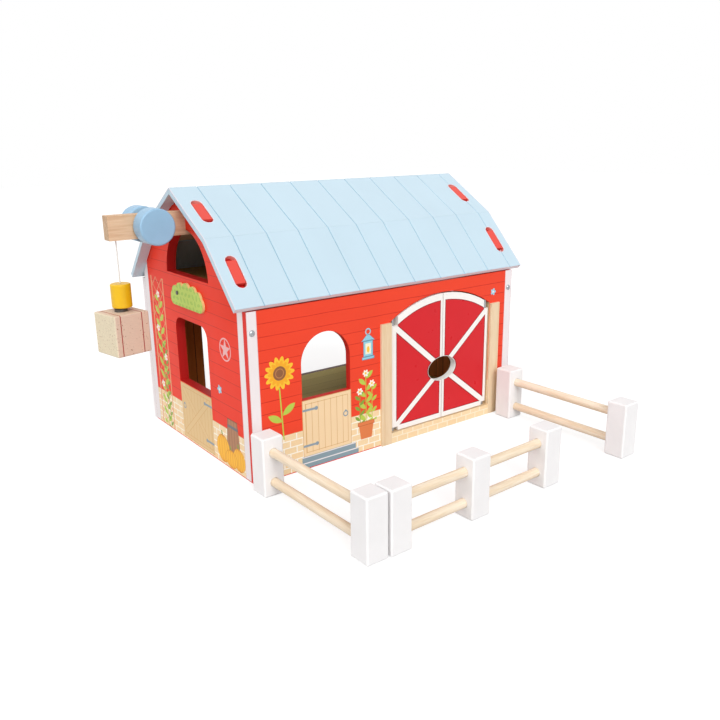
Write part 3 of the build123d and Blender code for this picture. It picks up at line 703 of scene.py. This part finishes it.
def turned_grain(paint, axis, ring=9.0, light=None, dark=None):
    """Colour and bump of bare wood along one axis: slow bands, fine fibres and pores."""
    held = colours()
    stretch = [1, 1, 1]
    stretch["xyz".index(axis)] = 0.05
    bands = paint.cloud(ring, 3, stretch, 0.6)
    fibres = paint.cloud(1.0, 4, stretch)
    pores = paint.cloud(0.45, 2, [0.5 * value if value < 1 else 1 for value in stretch])
    blended = bands * 0.62 + fibres * 0.38
    share = paint.node("ShaderNodeMapRange", {"interpolation_type": "SMOOTHSTEP"},
                       {"Value": blended, "From Min": 0.36, "From Max": 0.66})
    tint = paint.mix(light or held["wood_light"], dark or held["wood_dark"], share)
    tint = paint.vary(tint, pores, 0.94, 1.02)
    return tint, fibres * 0.7 + pores * 0.3


def bare_wood(name, axis, ring=9.0, light=None, dark=None):
    """Finish of bare wood with its grain along one axis."""
    paint = Paint(name)
    tint, grain = turned_grain(paint, axis, ring, light, dark)
    return paint.wooden(tint, grain)


class BARN_OT_hoist(bpy.types.Operator):
    """Beam, axle, winch wheels, magnet and bale"""
    bl_idname = "barn.hoist"
    bl_label = "Hoist"

    def execute(self, context):
        held = colours()
        paint = Paint("beech_beam")
        tint, grain = turned_grain(paint, "x", 7, held["beam_light"], held["beam_dark"])
        heart = paint.reach(paint.y + 16, paint.z - BEAM_BOTTOM + 22)
        rings = (heart * (tau / 2.4)).cosine() * 0.03 + 0.8     # darker end grain, rings 2.4 apart
        end = (low("hoist_beam")[0] + 0.4 - paint.x).over(0)
        tint = paint.mix(tint, paint.scaled(tint, rings), end)
        wear(["hoist_beam", "beam_cleats"], paint.wooden(tint, grain))
        wear(["winch_axle"], bare_wood("beech_along_y", "y", 4))

        paint = Paint("blue_wheel_paint")
        turn = paint.reach(paint.x - AXLE[0], paint.z - AXLE[2])
        lathe = (turn * (tau / 1.7)).cosine() * 0.12 + paint.cloud(0.8, 3)
        tint = paint.vary(held["wheel_blue"], paint.cloud(22, 3), 0.94, 1.04)
        gloss = paint.cloud(9, 2) * 0.14 + 0.3
        wear(["front_winch_wheel", "back_winch_wheel"], paint.finish(tint, gloss, lathe, 0.03))

        paint = Paint("yellow_paint")
        grain = paint.cloud(2.2, 3, (1, 1, 0.08))
        tint = paint.vary(held["yellow"], paint.cloud(12, 3), 0.94, 1.03)
        wear(["magnet_holder"], paint.finish(tint, paint.cloud(7, 2) * 0.16 + 0.3, grain, 0.05))

        paint = Paint("bale_print")
        along, _ = paint.turned(paint.x, paint.y, BALE_MIDDLE, BALE_TURN)
        ends = abs(along).over(BALE_HALF - 0.4)
        straw = paint.cloud(0.9, 3, (0.12, 0.5, 1))
        side = paint.vary(held["bale_side"], straw, 0.93, 1.04)
        end = paint.vary(held["bale_end"], paint.cloud(1.1, 3, (1, 0.5, 0.5)), 0.9, 1.05)
        tint = paint.mix(side, end, ends)
        speck = paint.cloud(1.5, 1, (0.7, 1, 1)).over(0.69) * paint.cloud(9, 1).over(0.47)
        tint = paint.mix(tint, srgb(150, 92, 62), speck * 0.85)
        bands = (abs(along + (BALE_HALF - 6.6)) - 0.55).join(abs(along - (BALE_HALF - 8.9)) - 0.55)
        tint = paint.mix(tint, held["bale_band"], paint.inside(bands) * (1 - ends))
        wear(["hay_bale"], paint.finish(tint, straw * 0.1 + 0.62, straw, 0.06, shine=0.2))
        return {"FINISHED"}


class BARN_OT_steel(bpy.types.Operator):
    """Screws with crossed heads and threads, and the plated pins and discs"""
    bl_idname = "barn.steel"
    bl_label = "Steel"

    def execute(self, context):
        held = colours()
        paint = Paint("zinc_plate")
        bright = paint.cloud(1.6, 3)
        steel = paint.finish(paint.vary(held["zinc"], bright, 0.85, 1.1), bright * 0.22 + 0.26,
                             paint.cloud(0.4, 2), 0.01, edge=0.15, metallic=0.85)
        wear(["door_pins"], steel)
        paint = Paint("plugged_pin")
        wood, _ = turned_grain(paint, "x", 7, held["beam_light"], held["beam_dark"])
        plug = paint.inside((high("guide_pin")[1] - 0.4) - abs(paint.y), 0.1)
        tint = paint.mix(held["zinc"], wood, plug)
        wear(["guide_pin"], paint.finish(tint, plug * 0.25 + 0.3, edge=0.15, metallic=0.85 - plug * 0.85,
                                         shine=0.2))
        # Magnet and plate in dark steel; the plaque pin is darkened with them as painted shade.
        paint = Paint("dark_steel")
        tint = paint.vary(held["dark_steel"], paint.cloud(2.2, 3), 0.85, 1.12)
        wear(["plaque_pin", "magnet_disc", "bale_plate"],
             paint.finish(tint, paint.cloud(1.5, 2) * 0.15 + 0.38, edge=0.15, metallic=0.4))

        head, rise, shank = 3.5, 2.0, 1.7
        arc = np.linspace(0.03, pi / 2, 30)
        dome = [(head * sin(a), rise * cos(a), 0) for a in arc]

        def shank_profile(top, length):
            """Shank from its top down to a short point, threaded below its neck."""
            depths = np.linspace(1.5, length - 2.2, 60)
            return ([(shank, top, 0), (shank, top - 1.2, 0)] + [(shank, top - d, 1) for d in depths]
                    + [(shank * 0.7, top - length + 1.2, 0), (0.15, top - length, 0)])

        def placed(profile, places):
            surface = screw_surface(profile)
            shape = surface.shape
            return [tube_surface(moved(surface.reshape(-1, 3), origin, outward).reshape(shape))
                    for origin, outward in places]

        left, _, bottom = low("corner_screws")
        right, _, top = high("corner_screws")
        corners = [((x, y, z), (0, out, 0)) for x in (left + head, right - head)
                   for y, out in ((FRONT, -1), (BACK, 1)) for z in (bottom + head, top - head)]
        profile = dome + shank_profile(0, 22.0)
        piece = add_piece("corner_screw_set", placed(profile, corners), steel,
                          ["corner_screws"])
        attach(piece, "barn")

        x, _, z = middle("beam_screws")
        reach = high("beam_cleats")[1]
        profile = dome + shank_profile(0, reach - 3.2)
        sides = [((x, out * reach, z), (0, out, 0)) for out in (-1, 1)]
        piece = add_piece("beam_screw_set", placed(profile, sides), steel, ["beam_screws"])
        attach(piece, "barn")

        x, y, _ = middle("bale_screw")
        top = high("bale_screw")[2]
        flat = [(r, 0, 0) for r in np.linspace(0.1, head - 0.15, 24)]
        profile = flat + [(head, -0.12, 0), (shank, -1.8, 0)]
        profile += shank_profile(-1.9, top - low("bale_screw")[2] - 1.9)
        piece = add_piece("bale_screw_flush", placed(profile, [((x, y, top), (0, 0, 1))]), steel,
                          ["bale_screw"])
        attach(piece, "bale")
        return {"FINISHED"}


# --- Prints on the walls -----------------------------------------------------------------------------
def planks(paint, u, v):
    """Lines between the planks above the plinth, which waver and fade a little."""
    pitch, start = size("plank_pitch"), size("plinth_height")
    row = ((v - start) / pitch + 0.5).floor()
    shift = (paint.chance(row, row * 0 + 3) - 0.5) * 2.6
    waver = (paint.cloud(60, 1) - 0.5) * 1.6
    return abs(v - (row * pitch + start + shift + waver)) - 0.34


def bricks(paint, u, v):
    """Colour of the brick plinth: half-lapped courses, each brick of its own tone."""
    held = colours()
    length, height = size("brick_length"), size("brick_height")
    course = (v / height).floor()
    lapped = u / length + (course % 2) * 0.5
    column = lapped.floor()
    across, up = (lapped - column) * length, v - course * height
    shape = paint.board(across, up, 0.7, length - 0.7, 0.6, height - 0.6)
    tone = paint.chance(column, course)
    brick = paint.mix(held["brick"], held["brick_dark"], tone * tone * 0.8)
    brick = paint.vary(brick, paint.cloud(2.5, 3), 0.96, 1.03)
    return paint.mix(held["mortar"], brick, paint.inside(shape, 0.35))


def half_door(paint, u, v, left, right, bottom, top, cream, braced=False):
    """Layers of a plank half-door with a frame, strap hinges and a ring latch."""
    held = colours()
    door = paint.board(u, v, left, right, bottom, top)
    lines = (abs((u - left) % 8.6 - 4.3) - 0.28).meet(door + 4)
    frame_lines = (door + 4.6).outline(0.6).join(door.outline(0.7))
    layers = [(door, cream), (lines, held["plank_brown"])]
    if braced:
        for first, last in ((bottom + 5, top - 5), (top - 5, bottom + 5)):
            brace = paint.stroke(u, v, (left + 5, first), (right - 5, last), 7.5).meet(door + 4.6)
            layers += [(brace, cream), (brace.outline(0.6), held["plank_brown"])]
    layers.append((frame_lines, held["plank_brown"]))
    for height in (bottom + 13, top - 12):
        strap = paint.stroke(u, v, (left + 1.5, height), (left + 17, height), 2.6)
        layers += [(strap.join(paint.disc(u, v, (left + 19, height), 2.3)), held["iron"])]
    middle_height = (bottom + top) / 2 + 6
    ring = abs(paint.disc(u, v, (right - 8, middle_height), 3.0)) - 0.7
    layers += [(ring.join(paint.disc(u, v, (right - 8, middle_height + 3.4), 1.3)), held["iron"])]
    return layers


def wall_finish(name, red, edge, axes, faces, trims, extra=None):
    """A wall board: planks, plinth, corner boards and motifs outside, stained planks inside.

    axes gives the coordinates along and up the board; faces gives two shapes, which cover the outer
    face and the inner face."""
    held = colours()
    paint = Paint(name)
    u, v = axes(paint)
    outer, inner = faces(paint)
    faded = paint.inside(planks(paint, u, v)) * (paint.cloud(18, 2) * 0.8 + 0.35)
    ink = paint.mix(held[red], held["plank_line"], faded)
    plinth = v - size("plinth_height")
    tint = paint.mix(ink, bricks(paint, u, v), paint.inside(plinth))
    layers = [(abs(plinth) - 0.35, held["plank_brown"])]
    if extra:
        layers += extra(paint, u, v)
    for left, right in trims:
        board = paint.bar(u, left, right)
        layers += [(board, held["trim_white"]), (board.outline(0.5), held["trim_line"])]
    layers.append((v - 1.0, held["edge_red"]))
    tint = paint.print(tint, layers)
    cut = held[edge]
    if edge == "edge_red":
        doorway = paint.bar(u, DOOR_MIDDLE - DOORWAY_HALF - 0.5, DOOR_MIDDLE + DOORWAY_HALF + 0.5)
        cut = paint.mix(cut, held["wood_dark"], paint.inside(doorway.meet(v - SPRING)))
    # The back wall's cut edges take dark brown as painted shade; its ends stay white.
    elif edge == "back_edge_painted_shade":
        cut = paint.mix(held["trim_white"], cut, paint.inside(paint.bar(u, LEFT + 0.5, RIGHT - 0.5)))
    tint = paint.mix(cut, tint, paint.inside(outer, 0.08))
    stain = paint.vary(held["inner_brown"], paint.cloud(7, 3, (1, 1, 0.08)), 0.8, 1.15)
    stain = paint.mix(stain, srgb(60, 36, 22), paint.inside(abs(u % 14.5 - 7.25) - 0.45))
    tint = paint.mix(tint, stain, paint.inside(inner, 0.08))
    depth, _ = paint.roof_depth()
    tint = paint.mix(tint, held["tab_red"], paint.inside(depth - 3.0))
    return paint.painted(tint)


def blossom(paint, u, v, centre, radius, petals, depth, heart, inks):
    """Layers of a small flower and its heart."""
    return [(paint.flower(u, v, centre, radius, petals, depth), inks[0]),
            (paint.disc(u, v, centre, heart), inks[1])]


def front_motifs(paint, u, v):
    """Half-door, step, sunflower, lantern and potted plant."""
    held = colours()
    layers = half_door(paint, u, v, -136, -68, 15, 83, held["plank_cream"])
    for left, right, bottom, top in ((-142, -58, 0, 8), (-138, -62, 8, 15.5)):
        step = paint.board(u, v, left, right, bottom, top)
        layers += [(step, held["step_grey"]), (step.meet(abs(v - top + 0.9) - 0.6), held["trim_white"])]

    stem = paint.stroke(u, v, (-164, 104), (-161, 44), 1.6)
    leaves = paint.leaf(u, v, (-171, 70), 150, 20, 8).join(paint.leaf(u, v, (-153, 78), 35, 20, 8))
    bloom = (-163, 121)
    petals = paint.flower(u, v, bloom, 19, 14, 5.5)
    inner = paint.flower(u, v, bloom, 14.5, 14, 4)
    layers += [(stem.join(leaves), held["leaf_green"]), (petals, held["sun_yellow"]),
               (inner, srgb(246, 174, 50)), (paint.disc(u, v, bloom, 8), held["seed_brown"]),
               (abs(paint.disc(u, v, bloom, 5)) - 0.5, srgb(190, 132, 84))]

    body = paint.board(u, v, -49, -35, 118, 137)
    cap = abs(u + 42) - 10 + (v - 137) * 1.1
    cap = cap.meet(paint.bar(v, 137, 144.5))
    foot = paint.board(u, v, -51, -33, 114.5, 118)
    hook = abs(paint.disc(u, v, (-42, 148), 3.4)) - 0.7
    pane = paint.board(u, v, -46, -38, 121, 134)
    flame = paint.leaf(u, v, (-42, 126.5), 90, 8.5, 4)
    layers += [(body.join(cap, foot, hook), held["sky_blue"]),
               (body.join(cap, foot).outline(0.6), srgb(90, 140, 165)),
               (pane, srgb(250, 244, 214)), (flame, held["sun_yellow"])]

    pot = (abs(u + 46) - 8 - (v - 16) * 0.17).meet(paint.bar(v, 16, 36))
    rim = paint.board(u, v, -58.5, -33.5, 33, 38)
    layers += [(paint.sprig(u, v, -46, 36, 100, 15, 13, 5.6), held["leaf_green"]),
               (paint.sprig(u, v, -55, 37, 76, 13, 9, 4), held["leaf_dark"]),
               (paint.sprig(u, v, -37, 37, 84, 14, 9, 4), held["leaf_green"]),
               (pot.join(rim), held["clay"]), (rim.outline(0.5), srgb(176, 88, 52))]
    for centre in ((-46, 98), (-37, 84), (-55, 77)):
        layers += blossom(paint, u, v, centre, 4.6, 6, 2, 1.5, (srgb(252, 246, 232), held["sun_yellow"]))
    blue = (held["sky_blue"], held["trim_white"])
    return layers + blossom(paint, u, v, (166, 168), 4.8, 5, 2.2, 1.5, blue)


def gable_motifs(paint, u, v):
    """Half-door, trellis with a climber, barn star, barrel and pumpkins."""
    held = colours()
    layers = half_door(paint, u, v, -42.5, 42.5, 3, 75, held["gable_cream"], braced=True)
    trellis = paint.board(u, v, 72, 110, 0, 200)
    lattice = (abs((u + v) % 19 - 9.5) - 0.7).join(abs((u - v) % 19 - 9.5) - 0.7)
    rails = abs(paint.bar(u, 73.2, 108.8)) - 1.3
    layers += [(lattice.meet(trellis), srgb(226, 160, 118)), (rails.meet(trellis), srgb(232, 168, 122)),
               (paint.sprig(u, v, 91, 4, 176, 17, 15, 6.5), held["leaf_green"]),
               (paint.sprig(u, v, 83, 0, 118, 14, 9, 4), held["leaf_dark"])]
    for centre in ((91, 178), (99, 133), (82, 97), (98, 58)):
        layers += blossom(paint, u, v, centre, 5, 5, 2.2, 1.4, (srgb(252, 240, 236), held["sun_yellow"]))

    barrel = (abs(u + 92) - (15 - abs(v - 34) * 0.13)).meet(paint.bar(v, 6, 62))
    staves = (abs((u + 92) % 6.4 - 3.2) - 0.3).meet(barrel)
    hoops = (abs(abs(v - 34) - 19) - 1.7).meet(barrel)
    layers += [(barrel, srgb(176, 128, 96)), (staves, srgb(122, 84, 62)), (hoops, srgb(112, 116, 122)),
               (barrel.outline(0.7), srgb(110, 74, 56))]
    for centre, wide, tall in (((-104, 17), 14, 14), ((-66, 20), 16, 17), ((-85, 12.5), 14, 11)):
        body = paint.oval(u, v, centre, wide, tall)
        ribs = abs(paint.oval(u, v, centre, wide * 0.62, tall)) - 0.4
        ribs = ribs.join(abs(paint.oval(u, v, centre, wide * 0.22, tall)) - 0.4).meet(body)
        crown = centre[1] + tall
        stalk = paint.stroke(u, v, (centre[0], crown - 1), (centre[0] + 2, crown + 4), 2.4)
        layers += [(stalk, held["leaf_dark"]), (body, srgb(250, 190, 66)), (ribs, srgb(226, 146, 50)),
                   (body.outline(0.6), srgb(214, 138, 50))]

    star = (-86, 143)
    across, up = u - star[0], v - star[1]
    angle = paint.angle(across, up)
    fold = abs((angle + radians(36)) % radians(72) - radians(36))
    point = paint.reach(across, up)
    shape = point * (radians(72) - fold).cosine() - 12.6 * cos(radians(72))
    layers += [(shape, held["blush"]), (abs(point - 12.5) - 0.8, held["blush"])]
    blue = (held["sky_blue"], held["trim_white"])
    return layers + blossom(paint, u, v, (-66, 92), 5.4, 5, 2.4, 1.6, blue)


class BARN_OT_walls(bpy.types.Operator):
    """Prints on the long walls and the gables"""
    bl_idname = "barn.walls"
    bl_label = "Walls"

    def execute(self, context):
        trim = size("trim_width")
        wide = [(LEFT, LEFT + trim), (RIGHT - trim, RIGHT)]
        deep = [(FRONT + 7, FRONT + 7 + trim + 1), (BACK - 7 - trim - 1, BACK - 7)]
        boards = (
            ("front_wall", "front_red", "edge_red", lambda p: (p.x, p.z), wide, front_motifs,
             lambda p: (p.y - (FRONT + 0.2), (FRONT + WALL - 0.2) - p.y)),
            ("back_wall", "front_red", "back_edge_painted_shade", lambda p: (p.x, p.z), wide, None,
             lambda p: ((BACK - 0.2) - p.y, p.y - (BACK - WALL + 0.2))),
            ("left_gable", "gable_red", "gable_edge", lambda p: (p.y, p.z), deep, gable_motifs,
             lambda p: (p.x - (LEFT + 0.2), (LEFT + GABLE - 0.2) - p.x)),
            ("right_gable", "gable_red", "gable_edge", lambda p: (p.y, p.z), deep, None,
             lambda p: ((RIGHT - 0.2) - p.x, p.x - (RIGHT - GABLE + 0.2))))
        for board, red, edge, axes, trims, motifs, faces in boards:
            wear([board], wall_finish(board + "_print", red, edge, axes, faces, trims, motifs))
        return {"FINISHED"}


class BARN_OT_doors(bpy.types.Operator):
    """Printed panels on the big doors, and their wooden jambs and threshold"""
    bl_idname = "barn.doors"
    bl_label = "Big doors"

    stile, rail, arch, centre_stile, brace, hole_rim = 7.4, 6.5, 8.5, 3.8, 7.0, 0.6

    def execute(self, context):
        held = colours()
        paint = Paint("door_print")
        side, v = abs(paint.x - DOOR_MIDDLE), paint.z
        radius = (DOORWAY_HALF ** 2 + DOOR_RISE ** 2) / (2 * DOOR_RISE)
        centre = SPRING + DOOR_RISE - radius
        half = DOORWAY_HALF - 1.0
        hole = (0, 81.0)
        panel = (side - (half - self.stile)).meet(
            LEAF_BOTTOM + self.rail - v, self.centre_stile - side,
            paint.reach(side, v - centre) - (radius - 1.5 - self.arch))
        for corner in ((half - 3, SPRING - 6), (half - 3, LEAF_BOTTOM + 3.5)):
            panel = panel.less(paint.stroke(side, v, corner, hole, self.brace))
        panel = panel.less(paint.oval(side, v, hole, 23.5 + self.hole_rim, 15.5 + self.hole_rim))
        tint = paint.print(held["door_white"], [(panel, held["door_red"]),
                                                (panel.outline(0.9), held["door_line"])])
        tint = paint.mix(held["door_white"], tint, paint.inside(paint.y - (LEAF_FACE + 0.2), 0.08))
        wear(["left_door_leaf", "right_door_leaf"], paint.painted(tint, 0.3, shine=0.18))
        wear(["left_door_jamb", "right_door_jamb"], bare_wood("beech_along_z", "z", 8))
        paint = Paint("threshold_print")
        tint, _ = turned_grain(paint, "x", 8)
        front = paint.inside(paint.y - (low("door_threshold")[1] + 0.2), 0.08)
        pale = paint.mix(bricks(paint, paint.x, paint.z), held["brick"], 0.45)
        wear(["door_threshold"], paint.painted(paint.mix(tint, pale, front)))
        return {"FINISHED"}


class BARN_OT_roof(bpy.types.Operator):
    """Roof paint: darker grooves, primed edges, slot rings, painted highlight on the ends' top edges,
    painted light in the slots
    """
    bl_idname = "barn.roof"
    bl_label = "Roof"

    def execute(self, context):
        held = colours()
        paint = Paint("roof_paint")
        x, side, z = paint.x, abs(paint.y), paint.z
        depth, upper = paint.roof_depth()
        end = paint.inside((ROOF_END - 0.3) - abs(x), 0.1)
        skin = end.math("MAXIMUM", paint.inside(depth - 0.25, 0.1))
        # Mask of the top edges of the roof's ends, where a pale line is a painted highlight.
        arris_painted_highlight = paint.inside(depth - 0.9, 0.3) * paint.inside((ROOF_END - 0.9) - abs(x), 0.3)
        below = paint.inside((ROOF_THICKNESS - 0.25) - depth, 0.1)
        pitch = size("groove_pitch")
        groove = abs((x + GROOVE_START + pitch / 2) % pitch - pitch / 2) - 0.6
        groove = paint.inside(groove, 0.25) * paint.inside(depth - 1.2, 0.1)
        ring_x = abs(abs(x) - SLOT_X)
        rings = []
        for (middle_reach, middle_rise), slope in SLOTS:
            along = (side - middle_reach) * slope[1] - (z - middle_rise) * slope[0]
            past = (abs(along) - SLOT_HALF).math("MAXIMUM", 0)
            rings.append(paint.reach(ring_x, past) - SLOT_RADIUS)
        slot = rings[1] + (rings[0] - rings[1]) * upper
        tint = paint.mix(held["board_edge"], held["underside"], below)
        tint = paint.mix(tint, held["roof_blue"], skin)
        tint = paint.mix(tint, held["groove_blue"], groove)
        # Painted highlight on the ends' top edges, and the real bare ring round each slot.
        arris_highlight_and_bare_ring = (arris_painted_highlight * 0.6).math("MAXIMUM", paint.inside(slot - 0.6, 0.3))
        tint = paint.mix(tint, held["board_edge"], arris_highlight_and_bare_ring)
        # Slot walls below the skin: tab red lightened, painted light against the shade in the slots.
        walls = paint.inside(slot - 0.3, 0.1) * paint.inside(0.6 - depth, 0.15)
        tint = paint.mix(tint, held["slot_wall"], walls)
        tint = paint.vary(tint, paint.cloud(70, 3), 0.975, 1.015)
        peel = paint.cloud(0.9, 3)
        roof = paint.finish(tint, paint.cloud(16, 3) * 0.14 + 0.36, peel, 0.012, shine=0.2)
        wear([f"{side}_roof_{part}" for side in ("front", "back") for part in ("upper", "lower")], roof)
        wear(["front_roof_batten", "back_roof_batten"], bare_wood("pine_batten", "x", 10))
        return {"FINISHED"}


class BARN_OT_inside(bpy.types.Operator):
    """Floor, loft and the rails below it"""
    bl_idname = "barn.inside"
    bl_label = "Inside"

    def execute(self, context):
        held = colours()
        paint = Paint("floor_paint")
        plank = abs(paint.y % 26 - 13) - 12.7
        tint = paint.vary(held["floor_olive"], paint.cloud(24, 4, (0.1, 1, 1)), 0.9, 1.06)
        tint = paint.mix(tint, srgb(92, 84, 56), paint.inside(0 - plank) * 0.8)
        upstairs = (paint.z - 150).over(0)
        tint = paint.mix(tint, held["inner_brown"], upstairs * 0.5)
        wear(["floor_panel", "loft_floor"], paint.painted(tint, 0.6, shine=0.05))
        wear(["front_loft_rail", "back_loft_rail"], bare_wood("pine_rail", "x", 8))
        return {"FINISHED"}


class BARN_OT_plaque(bpy.types.Operator):
    """Bush-shaped plaque with printed leaves and no words"""
    bl_idname = "barn.plaque"
    bl_label = "Plaque"

    wide, tall = 9.5, 7.5               # of the cell that holds one leaf

    def execute(self, context):
        held = colours()
        paint = Paint("plaque_print")
        u, v = paint.y, paint.z
        row = (v / self.tall).floor()
        lapped = u / self.wide + (row % 2) * 0.5
        column = lapped.floor()
        across, up = (lapped - column - 0.5) * self.wide, v - row * self.tall - self.tall / 2
        lean = (paint.chance(column, row) - 0.5) * 2.4
        turned_u = across * lean.cosine() + up * lean.math("SINE")
        turned_v = up * lean.cosine() - across * lean.math("SINE")
        leaf = paint.leaf(turned_u, turned_v, (0, 0), 30, 7.6, 3.4)
        tint = paint.print(held["plaque_green"], [(leaf, srgb(168, 204, 92)),
                                                  (leaf.outline(0.3), srgb(150, 188, 84))])
        tint = paint.mix(held["plaque_edge"], tint, paint.inside(paint.x - (PLAQUE_FACE + 0.2), 0.08))
        wear(["loft_plaque"], paint.painted(tint, 0.4))
        return {"FINISHED"}


class BARN_OT_fences(bpy.types.Operator):
    """White posts and round rails"""
    bl_idname = "barn.fences"
    bl_label = "Fences"

    def execute(self, context):
        held = colours()
        posts = [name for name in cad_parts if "_fence_post" in name]
        paint = Paint("white_post_paint")
        grain = paint.cloud(2.6, 4, (1, 1, 0.06))
        tint = paint.vary(held["post_white"], paint.cloud(20, 3), 0.97, 1.01)
        gloss = paint.cloud(10, 2) * 0.14 + 0.46
        wear(posts, paint.finish(tint, gloss, grain, 0.07, edge=0.5, shine=0.12))
        rails = [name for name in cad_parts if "_fence_" in name and "_rail" in name]
        for axis, front in (("y", False), ("x", True)):
            wear([name for name in rails if ("front" in name) == front],
                 bare_wood("dowel_along_" + axis, axis, 6, held["rail_light"], held["rail_dark"]))
        return {"FINISHED"}


OPERATORS = (BARN_OT_stage, BARN_OT_hoist_string, BARN_OT_hoist, BARN_OT_steel, BARN_OT_walls,
             BARN_OT_doors, BARN_OT_roof, BARN_OT_inside, BARN_OT_plaque, BARN_OT_fences)


class BARN_PT_panel(bpy.types.Panel):
    """Lists the barn's finishes with their colours and sizes"""
    bl_label = "Toy barn"
    bl_idname = "BARN_PT_panel"
    bl_space_type = "VIEW_3D"
    bl_region_type = "UI"
    bl_category = "Toy barn"

    def draw(self, context):
        for operator in OPERATORS:
            self.layout.operator(operator.bl_idname)
        scene = context.scene
        for held, kind in ((scene.barn_sizes, BarnSizes), (scene.barn_colours, BarnColours)):
            box = self.layout.box()
            for key in kind.__annotations__:
                box.prop(held, key)


CLASSES = (BarnColours, BarnSizes, *OPERATORS, BARN_PT_panel)


def register():
    for kind in CLASSES:
        bpy.utils.register_class(kind)
    bpy.types.Scene.barn_colours = bpy.props.PointerProperty(type=BarnColours)
    bpy.types.Scene.barn_sizes = bpy.props.PointerProperty(type=BarnSizes)


def unregister():
    del bpy.types.Scene.barn_sizes
    del bpy.types.Scene.barn_colours
    for kind in reversed(CLASSES):
        bpy.utils.unregister_class(kind)


def main():
    register()
    for operator in OPERATORS:
        group, name = operator.bl_idname.split(".")
        getattr(getattr(bpy.ops, group), name)()


if __name__ == "__main__":
    main()
